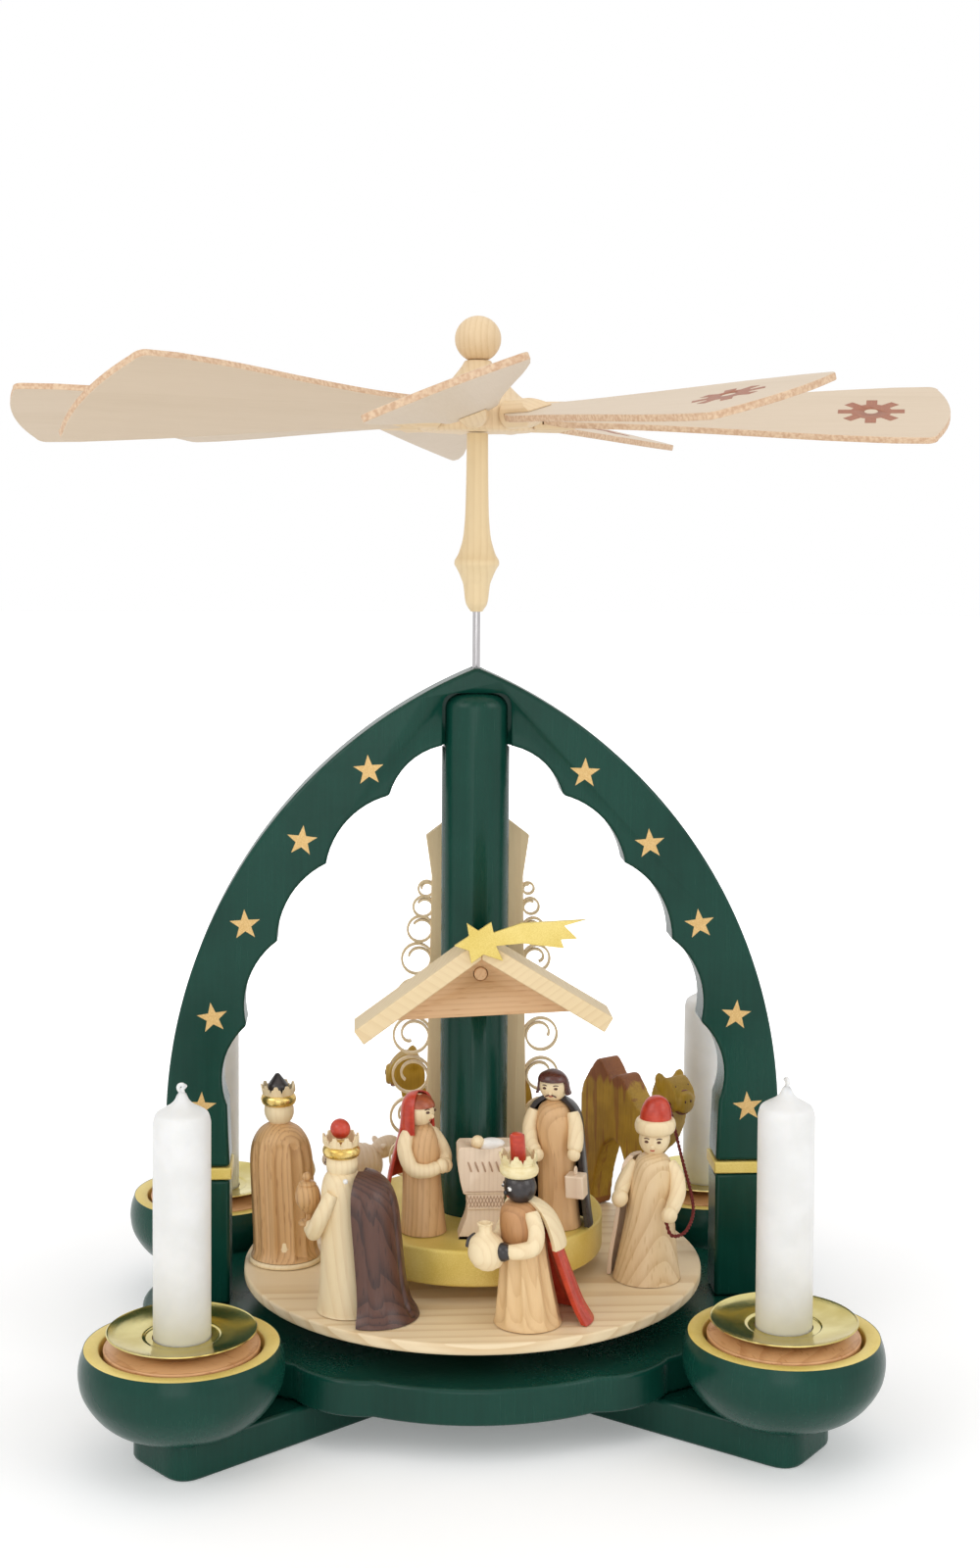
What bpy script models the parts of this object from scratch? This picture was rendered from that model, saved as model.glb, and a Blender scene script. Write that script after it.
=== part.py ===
"""A candle carousel: a pointed arch on crossed feet carries a column, a podium and a little hut.
A steel shaft inside the column joins the turntable below to the bladed rotor above.
Metres, +Z up. The origin is on the shaft's axis, on the table."""

import math

import bmesh
import bpy
from mathutils import Matrix, Vector

# Clearances
GAP = 0.0003
OVERRUN = 0.002

# Candle places, which also set the run of the foot bars
CANDLE_X = 0.0894
CANDLE_Y = 0.0712

# Foot bars
BAR_LENGTH = 0.250
BAR_WIDTH = 0.029
BAR_HEIGHT = 0.011
BAR_CORNER = 0.008
BAR_LAP_SHARE = 0.5

# Base plate, an oval of scallops
BASE_BEYOND_ARCH = 0.008
BASE_HALF_DEPTH = 0.079
BASE_THICKNESS = 0.011
BASE_CUSP_SHARES = ((0.306, 0.900), (0.528, 0.728), (0.880, 0.380))
BASE_LOBE_RISE_SHARES = (0.050, 0.020)
BASE_EDGE = 0.0008

# Bearing cup in the base plate
CUP_RADIUS = 0.005
CUP_HEIGHT = 0.007
CUP_DEPTH = 0.005
CUP_SUNK_SHARE = 0.8

# Shaft
SHAFT_RADIUS = 0.0013
SHAFT_CLEARANCE = 0.0004
SHAFT_IN_SPINDLE = 0.014

# Arch, its legs and bands
ARCH_TABLE_GAP = 0.0044
ARCH_DEPTH = 0.015
ARCH_SPRING_HEIGHT = 0.081
ARCH_APEX_HEIGHT = 0.230
ARCH_APEX_FLAT = 0.0015
ARCH_EDGE = 0.0008
LEG_WIDTH = 0.0206
BAND_TOP_HEIGHT = 0.0675
BAND_THICKNESS = 0.0038
BAND_PROUD = 0.0006
SCALLOP_CUSP_SHARES = (
    (0.000, 0.840),
    (0.282, 0.744),
    (0.485, 0.608),
    (0.642, 0.453),
    (0.740, 0.284),
    (0.802, 0.123),
)
SCALLOP_RISE_SHARES = (0.215, 0.149, 0.143, 0.152, 0.162)
WEB_THICKNESS = 0.008

# Column
COLUMN_RADIUS = 0.011
COLUMN_BELOW_APEX = 0.0085
COLUMN_ROUNDING = 0.005
COLUMN_SEAT = 0.004

# Turntable
TABLE_WALK = 0.0325
TABLE_ABOVE_BASE = 0.0122
TABLE_THICKNESS = 0.0050
TABLE_CHAMFER = 0.0045
TABLE_LIP_SHARE = 0.35
TABLE_HUB_RADIUS = 0.011
TABLE_HUB_FOOT_RADIUS = 0.005

# Podium
PODIUM_RADIUS = 0.0425
PODIUM_THICKNESS = 0.0116
PODIUM_RUNNING_GAP = 0.0050
PODIUM_EDGE = 0.0008

# Hut
ROOF_TILT = math.radians(2.5)
ROOF_SLOPE = math.radians(33.5)
ROOF_CENTRE_X = 0.0010
ROOF_THICKNESS = 0.0054
ROOF_LENGTH = 0.0455
ROOF_DEPTH = 0.0170
GABLE_HALF_WIDTH = 0.0300
GABLE_THICKNESS = 0.0070
GABLE_FOOT_HEIGHT = 0.1190
DOWEL_RADIUS = 0.0021
DOWEL_BITE = 0.0040
DOWEL_BELOW_APEX = 0.0062

# Comet on the ridge
COMET_LENGTH = 0.0420
COMET_THICKNESS = 0.0015
COMET_ABOVE_APEX = 0.0068
COMET_SHARES = (
    (-0.102, 0.136), (-0.018, 0.075), (0.081, 0.136), (0.095, 0.055),
    (0.310, 0.118), (0.795, 0.121), (0.626, 0.081), (0.721, -0.021),
    (0.598, -0.021), (0.619, -0.088), (0.310, -0.036), (0.110, -0.045),
    (0.160, -0.162), (0.012, -0.105), (-0.081, -0.169), (-0.095, -0.071),
    (-0.202, -0.029), (-0.090, 0.038),
)

# Shaving tree behind the column
TREE_THICKNESS = 0.0030
TREE_HALF_WIDTH = 0.0172
TREE_WAIST_SHARE = 0.885
TREE_WAIST_HEIGHT_SHARE = 0.80
TREE_POINT_HEIGHT = 0.0132
TREE_TOP_HEIGHT = 0.1860
TREE_CENTRE_X = 0.0015
CURL_RADIUS = 0.0063
CURL_LEVEL_SHARES = (
    (0.094, 1.00), (0.198, 1.00), (0.302, 0.97), (0.402, 0.97), (0.499, 0.89),
    (0.593, 0.79), (0.667, 0.65), (0.723, 0.51), (0.768, 0.38),
)
CURL_SHAVING = 0.0008
CURL_SUNK_SHARE = 1.3
CURL_WIDTH_SHARE = 0.72
CURL_HOOK_TURN = 0.5
CURL_HOOK_SHARE = 0.60
CURL_POINTS = 10

# Bowls, inserts, drip dishes and candles
BOWL_RADIUS = 0.0302
BOWL_FOOT_RADIUS = 0.0140
BOWL_HEIGHT = 0.0236
BOWL_RIM_RADIUS = 0.0290
BOWL_WELL_RADIUS = 0.0240
BOWL_WELL_DEPTH = 0.0098
BOWL_SIDE_SHARES = ((0.66, 0.05), (0.83, 0.21), (0.96, 0.45), (1.00, 0.66), (0.995, 0.80))
INSERT_SIDE_GAP = 0.0010
INSERT_HEIGHT = 0.0110
INSERT_COVE = 0.0017
INSERT_TOP_RADIUS = 0.0175
SOCKET_DEPTH = 0.0062
DISH_RADIUS = 0.0222
DISH_THICKNESS = 0.0006
DISH_RISE = 0.0023
DISH_FLAT_RADIUS = 0.0115
DISH_CURVE_SHARES = ((0.55, 0.30), (1.00, 1.00))
CANDLE_RADIUS = 0.0085
CANDLE_LENGTH = 0.0720
CANDLE_SHOULDER = 0.0042
CANDLE_TIP_RADIUS = 0.0030
CANDLE_CLEARANCE = 0.0003
WICK_RADIUS = 0.0008
WICK_LENGTH = 0.0060

# Rotor
ROTOR_RADIUS = 0.1500
ROTOR_TURN = math.radians(-98.5)
BLADE_SETTINGS = tuple(
    (math.radians(stray), math.radians(pitch))
    for stray, pitch in (
        (2.0, 21.0), (-1.3, 16.0), (3.5, 23.0), (0.0, 10.0), (3.1, 13.0),
        (-2.8, 23.0), (0.0, 10.0), (-3.8, 19.0), (-0.9, 28.5),
    )
)
BLADE_THICKNESS = 0.0022
BLADE_TIP_WIDTH = 0.0460
BLADE_ROOT_RADIUS = 0.0310
BLADE_SIDE_SHARES = ((0.00, 0.37), (0.20, 0.46), (0.45, 0.64), (0.72, 0.86))
BLADE_TIP_CORNER = 0.0060
BLADE_TIP_BULGE = 0.0030
TENON_RADIUS = 0.0026
TENON_CLEARANCE = 0.0003
TENON_LENGTH = 0.0065
STEM_RADIUS = 0.0047
STEM_LENGTH = 0.0095
STEM_TIP_LENGTH = 0.0070
STEM_TIP_SHARE = 0.55
HUB_RADIUS = 0.0188
HUB_FOOT_RADIUS = 0.0125
HUB_SHOULDER_RADIUS = 0.0130
HUB_UNDER = 0.0050
HUB_OVER = 0.0052
HUB_BELT = 0.0066
HUB_CONE_HEIGHT = 0.0128
HUB_NECK_RADIUS = 0.0042
SPINDLE_ABOVE_ARCH = 0.0178
SPINDLE_LENGTH = 0.0579
SPINDLE_COLLAR_RADIUS = 0.0073
SPINDLE_SHARES = (
    (0.34, 0.000), (0.41, 0.030), (0.50, 0.120), (0.62, 0.160), (1.00, 0.270),
    (0.97, 0.300), (0.66, 0.370), (0.58, 0.450), (0.50, 0.800), (0.56, 1.000),
)
BALL_RADIUS = 0.0075
BALL_FLAT_SHARE = 0.45

# Figures on the turntable: each one's direction, its step out from the middle of the walk, and way faced
KING_PLACES = {
    "king_left": (math.radians(179.4), 0.0028, math.radians(85.0)),
    "king_front_left": (math.radians(-132.0), 0.0018, math.radians(150.0)),
    "king_front": (math.radians(-76.7), 0.0006, math.radians(-160.0)),
}
KING_CLOAK_SPREADS = {
    "king_left": math.radians(82.0),
    "king_front_left": math.radians(82.0),
    "king_front": math.radians(40.0),
}
KING_HEIGHT = 0.0440
KING_BASE_RADIUS = 0.0100
KING_HEAD_RADIUS = 0.0050
ATTENDANT_PLACE = (math.radians(-20.9), 0.0, math.radians(-105.0))
CAMEL_PLACE = (math.radians(32.7), 0.0101, math.radians(-57.0))
FAR_CAMEL_PLACE = (math.radians(90.0), -0.0028, math.radians(180.0))
SHEEP_PLACE = (math.radians(132.9), -0.0014, math.radians(20.0))
# Figures on the podium, placed in shares of its radius
MARY_PLACE_SHARES = (-0.400, -0.529)
MARY_TURN = math.radians(-35.0)
JOSEPH_PLACE_SHARES = (0.631, -0.438)
JOSEPH_TURN = math.radians(-110.0)
CRIB_PLACE_SHARES = (0.052, -0.635)
CRIB_TURN = 0.0
ROBE_SHARES = (
    (1.00, 0.00), (0.97, 0.03), (0.80, 0.30), (0.68, 0.60), (0.66, 0.82), (0.52, 0.93), (0.26, 0.985),
)
ATTENDANT_HEIGHT = 0.0400
ATTENDANT_BASE_RADIUS = 0.0108
ATTENDANT_HEAD_RADIUS = 0.0053
MARY_HEIGHT = 0.0345
MARY_BASE_RADIUS = 0.0075
MARY_HEAD_RADIUS = 0.0048
JOSEPH_HEIGHT = 0.0400
JOSEPH_BASE_RADIUS = 0.0075
JOSEPH_HEAD_RADIUS = 0.0048
HEAD_LIFT_SHARE = 0.80
HEAD_SHARES = ((0.62, -0.63), (0.98, -0.21), (0.98, 0.21), (0.62, 0.63))
HAIR_SHARES = ((0.40, 1.00),)
CROWN_SHARES = ((1.12, 0.64), (1.12, 0.95), (1.00, 1.70), (0.60, 1.75), (0.34, 2.25))
CAP_SHARES = ((1.20, 0.64), (1.20, 0.95), (0.85, 1.00), (0.80, 1.45), (0.50, 1.80))
CLOAK_CORE_SHARE = 0.20
VEIL_SPREAD = math.radians(35.0)
JOSEPH_CLOAK_SPREAD = math.radians(70.0)
CLOAK_SHARES = ((1.24, 0.02), (1.04, 0.12), (0.88, 0.40), (0.82, 0.72), (0.62, 0.90), (0.36, 0.985))
ARM_RADIUS = 0.0022
SLEEVE_SHARES = (
    (0.00, 0.62, 0.860, 0.9), (0.45, 0.82, 0.620, 1.0), (0.82, 0.45, 0.575, 1.0),
    (1.02, 0.26, 0.550, 1.1), (1.08, 0.20, 0.542, 0.5),
)
HANGING_SLEEVE_SHARES = (
    (0.00, 0.62, 0.860, 0.9), (0.15, 0.84, 0.680, 1.0), (0.45, 0.94, 0.500, 1.0),
    (0.68, 0.82, 0.440, 1.1), (0.80, 0.74, 0.400, 0.6),
)
GIFT_RADIUS = 0.0040
GIFT_SHARES = (1.02, 0.55)
CRIB_LENGTH = 0.0160
CRIB_DEPTH = 0.0105
CRIB_HEIGHT = 0.0270
CRIB_WAIST_SHARES = ((0.66, 0.00), (0.60, 0.32), (0.66, 0.50), (0.80, 0.56), (1.00, 0.97), (0.96, 1.00))
CRIB_CHILD_RADIUS = 0.0032
CRIB_CHILD_STRETCH_SHARES = (1.00, 0.80, 0.30)
CAMEL_LENGTH = 0.0505
CAMEL_HEIGHT = 0.0545
CAMEL_THICKNESS = 0.0090
CAMEL_EDGE = 0.0011
CAMEL_SHARES = (
    (-0.47, 0.00), (-0.34, 0.00), (-0.31, 0.22), (-0.22, 0.44), (-0.12, 0.50), (-0.04, 0.46),
    (0.02, 0.34), (0.05, 0.00), (0.16, 0.00), (0.17, 0.36), (0.25, 0.47), (0.37, 0.56),
    (0.44, 0.69), (0.46, 0.79), (0.555, 0.80), (0.56, 0.90), (0.48, 0.97), (0.42, 1.03),
    (0.38, 0.96), (0.26, 1.02), (0.28, 0.88), (0.29, 0.76), (0.20, 0.72), (0.10, 0.76),
    (0.01, 0.86), (-0.06, 0.93), (-0.15, 0.87), (-0.20, 0.92), (-0.28, 1.00), (-0.37, 0.90),
    (-0.46, 0.78), (-0.48, 0.62), (-0.44, 0.42), (-0.48, 0.20),
)
LEAD_RADIUS = 0.0006
LEAD_ROUTE = (
    (0.0668, 0.01365, 0.0815), (0.0678, 0.0045, 0.0740), (0.0690, -0.0060, 0.0660),
    (0.0700, -0.0150, 0.0600), (0.0695, -0.0235, 0.0560), (0.0666, -0.0306, 0.0532),
    (0.0636, -0.0334, 0.0520), (0.0606, -0.0342, 0.0526), (0.0592, -0.0339, 0.0565),
)
SHEEP_LENGTH = 0.0200
SHEEP_BODY_RADIUS = 0.0075
SHEEP_BODY_HEIGHT = 0.0180
SHEEP_RIDGES = 4
SHEEP_RIDGE_SHARE = 0.10
SHEEP_END_SHARE = 0.20
SHEEP_LEG_RADIUS = 0.0017
SHEEP_LEG_SHARES = (0.27, 0.45)
SHEEP_HEAD_RADIUS = 0.0046
SHEEP_HEAD_SHARES = (0.52, 0.62)
SHEEP_HEAD_STRETCH_SHARES = (1.30, 0.80, 1.36)

# Places worked out from the sizes above
BAR_ANGLE = math.atan2(CANDLE_Y, CANDLE_X)
TABLE_RADIUS = PODIUM_RADIUS + TABLE_WALK
WALK_MIDDLE = PODIUM_RADIUS + TABLE_WALK / 2
ARCH_HALF_WIDTH = TABLE_RADIUS + ARCH_TABLE_GAP + LEG_WIDTH
BASE_HALF_LENGTH = ARCH_HALF_WIDTH + BASE_BEYOND_ARCH
BASE_BOTTOM = BAR_HEIGHT + GAP
BASE_TOP = BASE_BOTTOM + BASE_THICKNESS
LEG_CENTRE_X = ARCH_HALF_WIDTH - LEG_WIDTH / 2
TABLE_TOP_HEIGHT = BASE_TOP + TABLE_ABOVE_BASE
BAND_BOTTOM = BAND_TOP_HEIGHT - BAND_THICKNESS
ARCH_BOTTOM = BAND_TOP_HEIGHT + GAP
ARCH_CROWN = ARCH_BOTTOM + (ARCH_APEX_HEIGHT - ARCH_BOTTOM) * SCALLOP_CUSP_SHARES[0][1]
TABLE_BOTTOM = TABLE_TOP_HEIGHT - TABLE_THICKNESS
PODIUM_BOTTOM = TABLE_TOP_HEIGHT + PODIUM_RUNNING_GAP
PODIUM_TOP = PODIUM_BOTTOM + PODIUM_THICKNESS
COLUMN_BOTTOM = PODIUM_TOP - COLUMN_SEAT + GAP
COLUMN_TOP_HEIGHT = ARCH_APEX_HEIGHT - COLUMN_BELOW_APEX
HUT_BACK_Y = -COLUMN_RADIUS - GAP
TREE_FRONT_Y = COLUMN_RADIUS + GAP
TREE_SHOULDER_HEIGHT = TREE_TOP_HEIGHT - TREE_POINT_HEIGHT
BOWL_BOTTOM = BAR_HEIGHT + GAP
BOWL_TOP = BOWL_BOTTOM + BOWL_HEIGHT
INSERT_BOTTOM = BOWL_TOP - BOWL_WELL_DEPTH + GAP
INSERT_TOP = INSERT_BOTTOM + INSERT_HEIGHT
SOCKET_FLOOR = INSERT_TOP - SOCKET_DEPTH
CANDLE_BOTTOM = SOCKET_FLOOR + GAP
CUP_BOTTOM = BASE_TOP - CUP_HEIGHT * CUP_SUNK_SHARE
CUP_TOP = CUP_BOTTOM + CUP_HEIGHT
CUP_FLOOR = CUP_TOP - CUP_DEPTH
SHAFT_BOTTOM = CUP_FLOOR + GAP
SPINDLE_FOOT_HEIGHT = ARCH_APEX_HEIGHT + SPINDLE_ABOVE_ARCH
SPINDLE_TOP = SPINDLE_FOOT_HEIGHT + SPINDLE_LENGTH
HUB_BOTTOM = SPINDLE_TOP + GAP
BLADE_HEIGHT = HUB_BOTTOM + HUB_UNDER
HUB_TOP = BLADE_HEIGHT + HUB_OVER
SHAFT_TOP = SPINDLE_FOOT_HEIGHT + SHAFT_IN_SPINDLE

TURN = 2 * math.pi


def material(name, colour, roughness, metallic=0.0):
    """A Principled surface of one colour."""
    surface = bpy.data.materials.new(name)
    surface.use_nodes = True
    shader = surface.node_tree.nodes["Principled BSDF"]
    shader.inputs["Base Color"].default_value = (*colour, 1.0)
    shader.inputs["Roughness"].default_value = roughness
    shader.inputs["Metallic"].default_value = metallic
    surface.diffuse_color = (*colour, 1.0)
    return surface


def add_object(name, mesh, surface, at=(0.0, 0.0, 0.0), parent=None):
    """The finished bmesh as an object with outward normals, shaded smooth but for its edges."""
    bmesh.ops.recalc_face_normals(mesh, faces=mesh.faces)
    data = bpy.data.meshes.new(name)
    mesh.to_mesh(data)
    mesh.free()
    data.materials.append(surface)
    data.shade_smooth()
    data.set_sharp_from_angle(angle=math.radians(40.0))
    made = bpy.data.objects.new(name, data)
    bpy.context.scene.collection.objects.link(made)
    made.location = at
    made.parent = parent
    return made


def add_empty(name, at, turn=(0.0, 0.0, 0.0), parent=None):
    """A frame that carries other pieces."""
    frame = bpy.data.objects.new(name, None)
    bpy.context.scene.collection.objects.link(frame)
    frame.location = at
    frame.rotation_euler = turn
    frame.parent = parent
    return frame


def turned_mesh(profile, sides, closed=False):
    """A profile of (radius, height) points spun once about Z. A closed one never meets the axis."""
    mesh = bmesh.new()
    verts = [mesh.verts.new((radius, 0.0, height)) for radius, height in profile]
    edges = [mesh.edges.new(pair) for pair in zip(verts, verts[1:])]
    if closed:
        edges.append(mesh.edges.new((verts[-1], verts[0])))
    bmesh.ops.spin(
        mesh,
        geom=verts + edges,
        cent=(0.0, 0.0, 0.0),
        axis=(0.0, 0.0, 1.0),
        angle=TURN,
        steps=sides,
        use_merge=True,
    )
    bmesh.ops.remove_doubles(mesh, verts=mesh.verts, dist=GAP / 100)
    return mesh


def turned(name, profile, sides, surface, closed=False, **place):
    return add_object(name, turned_mesh(profile, sides, closed), surface, **place)


def prism_mesh(outline, low, high):
    """An outline in XY, drawn up from low to high."""
    mesh = bmesh.new()
    face = mesh.faces.new([mesh.verts.new((x, y, low)) for x, y in outline])
    top = bmesh.ops.extrude_face_region(mesh, geom=[face])
    raised = [item for item in top["geom"] if isinstance(item, bmesh.types.BMVert)]
    bmesh.ops.translate(mesh, verts=raised, vec=(0.0, 0.0, high - low))
    return mesh


def upright_mesh(outline, front, back):
    """An outline in XZ, drawn back along Y from front to back."""
    mesh = prism_mesh(outline, -back, -front)
    bmesh.ops.rotate(mesh, verts=mesh.verts, cent=(0.0, 0.0, 0.0), matrix=Matrix.Rotation(TURN / 4, 3, "X"))
    return mesh


def prism(name, outline, low, high, surface, **place):
    return add_object(name, prism_mesh(outline, low, high), surface, **place)


def upright(name, outline, front, back, surface, **place):
    return add_object(name, upright_mesh(outline, front, back), surface, **place)


def box_mesh(low, high):
    """A box between two corners."""
    floor = [(low[0], low[1]), (high[0], low[1]), (high[0], high[1]), (low[0], high[1])]
    return prism_mesh(floor, low[2], high[2])


def rod_mesh(start, end, radius, sides, tip_share=1.0):
    """A rod from start to end, drawn in to a share of its radius at the end."""
    run = Vector(end) - Vector(start)
    mesh = turned_mesh(
        [(0.0, 0.0), (radius, 0.0), (radius * tip_share, run.length), (0.0, run.length)], sides
    )
    turn = Vector((0.0, 0.0, 1.0)).rotation_difference(run).to_matrix()
    bmesh.ops.rotate(mesh, verts=mesh.verts, cent=(0.0, 0.0, 0.0), matrix=turn)
    bmesh.ops.translate(mesh, verts=mesh.verts, vec=start)
    return mesh


def ball_mesh(centre, radius, sides, stretch=(1.0, 1.0, 1.0)):
    """A ball of few faces, stretched along the axes."""
    mesh = bmesh.new()
    bmesh.ops.create_uvsphere(mesh, u_segments=sides, v_segments=max(6, sides // 2), radius=radius)
    bmesh.ops.scale(mesh, verts=mesh.verts, vec=stretch)
    bmesh.ops.translate(mesh, verts=mesh.verts, vec=centre)
    return mesh


def combine(target, mesh, operation):
    """A Boolean of the target with a guide, which moves with the target and isn't part of the model."""
    guide = add_object(f"{target.name}_guide", mesh, target.data.materials[0], parent=target)
    guide.hide_render = True
    guide.display_type = "WIRE"
    step = target.modifiers.new(operation.capitalize(), "BOOLEAN")
    step.operation = operation
    step.solver = "EXACT"
    step.object = guide
    return target


def cut(target, mesh):
    return combine(target, mesh, "DIFFERENCE")


def fuse(target, mesh):
    return combine(target, mesh, "UNION")


def soften(target, width):
    """A small chamfer along the sharp edges."""
    bevel = target.modifiers.new("Edges", "BEVEL")
    bevel.width = width
    bevel.segments = 1
    bevel.limit_method = "ANGLE"
    bevel.angle_limit = math.radians(60.0)
    return target


def arc_through(start, end, rise, steps):
    """Points from start up to, but not with, end on an arc that rises to the right of the way."""
    (x0, y0), (x1, y1) = start, end
    half = math.hypot(x1 - x0, y1 - y0) / 2
    radius = (half * half + rise * rise) / (2 * rise)
    along = ((x1 - x0) / (2 * half), (y1 - y0) / (2 * half))
    out = (along[1], -along[0])
    middle = ((x0 + x1) / 2 - out[0] * (radius - rise), (y0 + y1) / 2 - out[1] * (radius - rise))
    sweep = math.asin(min(1.0, half / radius))
    points = []
    for step in range(steps):
        angle = sweep * (2 * step / steps - 1)
        side = radius * math.sin(angle)
        depth = radius * math.cos(angle)
        points.append(tuple(middle[n] + along[n] * side + out[n] * depth for n in (0, 1)))
    return points


def rounded_bar(length, width, corner, steps=3):
    """A rectangle about the origin with rounded corners."""
    points = []
    for quarter, (sx, sy) in enumerate(((1, 1), (-1, 1), (-1, -1), (1, -1))):
        for step in range(steps + 1):
            angle = TURN / 4 * (quarter + step / steps)
            x = sx * (length / 2 - corner) + corner * math.cos(angle)
            y = sy * (width / 2 - corner) + corner * math.sin(angle)
            points.append((x, y))
    return points


def turned_round(outline, angle):
    """The outline turned about the origin."""
    c, s = math.cos(angle), math.sin(angle)
    return [(x * c - y * s, x * s + y * c) for x, y in outline]


def make_feet(lacquer):
    """Two bars that cross under the base plate, each halved where they meet."""
    lap = BAR_HEIGHT * BAR_LAP_SHARE
    bars = (("foot_bar_lower", BAR_ANGLE, lap - GAP / 2, BAR_HEIGHT + OVERRUN),
            ("foot_bar_upper", -BAR_ANGLE, -OVERRUN, lap + GAP / 2))
    for name, angle, cut_low, cut_high in bars:
        outline = turned_round(rounded_bar(BAR_LENGTH, BAR_WIDTH, BAR_CORNER), angle)
        bar = prism(name, outline, 0.0, BAR_HEIGHT, lacquer)
        half_width = BAR_WIDTH / 2 + GAP
        halving = [(-BAR_WIDTH * 2, -half_width), (BAR_WIDTH * 2, -half_width),
                   (BAR_WIDTH * 2, half_width), (-BAR_WIDTH * 2, half_width)]
        cut(bar, prism_mesh(turned_round(halving, -angle), cut_low, cut_high))


def base_outline():
    """The plate's scallops, from the front middle lobe round to the right end, then mirrored twice."""
    cusps = [(x * BASE_HALF_LENGTH, -y * BASE_HALF_DEPTH) for x, y in BASE_CUSP_SHARES]
    front = (-cusps[0][0], cusps[0][1])
    right = []
    for start, end, share in zip(cusps, cusps[1:], BASE_LOBE_RISE_SHARES):
        right += arc_through(start, end, BASE_HALF_DEPTH * share, 4)
    end_cusp = cusps[-1]
    end_lobe = arc_through(end_cusp, (end_cusp[0], -end_cusp[1]), BASE_HALF_LENGTH - end_cusp[0], 8)
    far_right = [(x, -y) for x, y in reversed(right + [end_cusp])]
    middle = arc_through(front, cusps[0], BASE_HALF_DEPTH + cusps[0][1], 8)
    half = middle + right + end_lobe + far_right[:-1]
    return half + [(-x, -y) for x, y in half]


def make_base(lacquer, brass):
    plate = prism("base_plate", base_outline(), BASE_BOTTOM, BASE_TOP, lacquer)
    soften(plate, BASE_EDGE)
    seat = CUP_RADIUS + GAP
    cut(plate, rod_mesh((0.0, 0.0, CUP_BOTTOM - GAP), (0.0, 0.0, BASE_TOP + OVERRUN), seat, 16))
    bore = SHAFT_RADIUS + SHAFT_CLEARANCE
    turned(
        "bearing_cup",
        [(0.0, CUP_BOTTOM), (CUP_RADIUS, CUP_BOTTOM), (CUP_RADIUS, CUP_TOP), (bore, CUP_TOP),
         (bore, CUP_FLOOR), (0.0, CUP_FLOOR)],
        16,
        brass,
    )


def make_legs(lacquer, gold):
    """Plain leg blocks under the arch, with a gold band between."""
    for side, sign in (("left", -1), ("right", 1)):
        centre = sign * LEG_CENTRE_X
        half = LEG_WIDTH / 2
        low = (centre - half, -ARCH_DEPTH / 2, BASE_TOP + GAP)
        high = (centre + half, ARCH_DEPTH / 2, BAND_BOTTOM - GAP)
        leg = add_object(f"leg_{side}", box_mesh(low, high), lacquer)
        soften(leg, ARCH_EDGE)
        wide = half + BAND_PROUD
        deep = ARCH_DEPTH / 2 + BAND_PROUD
        add_object(
            f"band_{side}",
            box_mesh((centre - wide, -deep, BAND_BOTTOM), (centre + wide, deep, BAND_TOP_HEIGHT)),
            gold,
        )


def outer_arc(steps):
    """The arch's right outer edge from the spring line up to just beside the apex."""
    rise = ARCH_APEX_HEIGHT - ARCH_SPRING_HEIGHT
    radius = (ARCH_HALF_WIDTH**2 + rise**2) / (2 * ARCH_HALF_WIDTH)
    centre = ARCH_HALF_WIDTH - radius
    last = math.acos((ARCH_APEX_FLAT - centre) / radius)
    angles = [last * step / steps for step in range(steps + 1)]
    return [(centre + radius * math.cos(a), ARCH_SPRING_HEIGHT + radius * math.sin(a)) for a in angles]


def inner_scallops(steps):
    """The arch's right inner edge from the crown down to the leg."""
    height = ARCH_APEX_HEIGHT - ARCH_BOTTOM
    cusps = [(x * ARCH_HALF_WIDTH, ARCH_BOTTOM + z * height) for x, z in SCALLOP_CUSP_SHARES]
    points = []
    for start, end, share in zip(cusps, cusps[1:], SCALLOP_RISE_SHARES):
        chord = math.dist(start, end)
        scallop = arc_through(end, start, chord * share, steps)
        points += [start] + scallop[:0:-1]
    return points + [cusps[-1]]


def arch_outline():
    inner_foot = ARCH_HALF_WIDTH - LEG_WIDTH
    right = [(inner_foot, ARCH_BOTTOM), (ARCH_HALF_WIDTH, ARCH_BOTTOM)] + outer_arc(15)
    left = [(-x, z) for x, z in reversed(right)]
    inside = inner_scallops(5)
    return right + left + [(-x, z) for x, z in reversed(inside)] + inside[1:]


def column_channel():
    """The column's upright silhouette from below the arch's crown, with the clearance round it."""
    low = ARCH_CROWN - OVERRUN
    half = COLUMN_RADIUS + GAP
    corner = COLUMN_ROUNDING + GAP
    top = COLUMN_TOP_HEIGHT + GAP
    points = [(-half, low), (half, low)]
    for sign, start in ((1, 0.0), (-1, TURN / 4)):
        for step in range(5):
            angle = start + TURN / 4 * step / 4
            across = sign * (half - corner) + corner * math.cos(angle)
            points.append((across, top - corner + corner * math.sin(angle)))
    return points


def make_arch(lacquer):
    """The arch with a channel in each face for the column and a bore through its crown for the shaft."""
    arch = upright("arch", arch_outline(), -ARCH_DEPTH / 2, ARCH_DEPTH / 2, lacquer)
    soften(arch, ARCH_EDGE)
    for sign in (-1, 1):
        near, far = sorted((sign * WEB_THICKNESS / 2, sign * (ARCH_DEPTH / 2 + OVERRUN)))
        cut(arch, upright_mesh(column_channel(), near, far))
    start = (0.0, 0.0, ARCH_CROWN - OVERRUN)
    cut(arch, rod_mesh(start, (0.0, 0.0, ARCH_APEX_HEIGHT + OVERRUN), SHAFT_RADIUS + SHAFT_CLEARANCE, 12))


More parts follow.
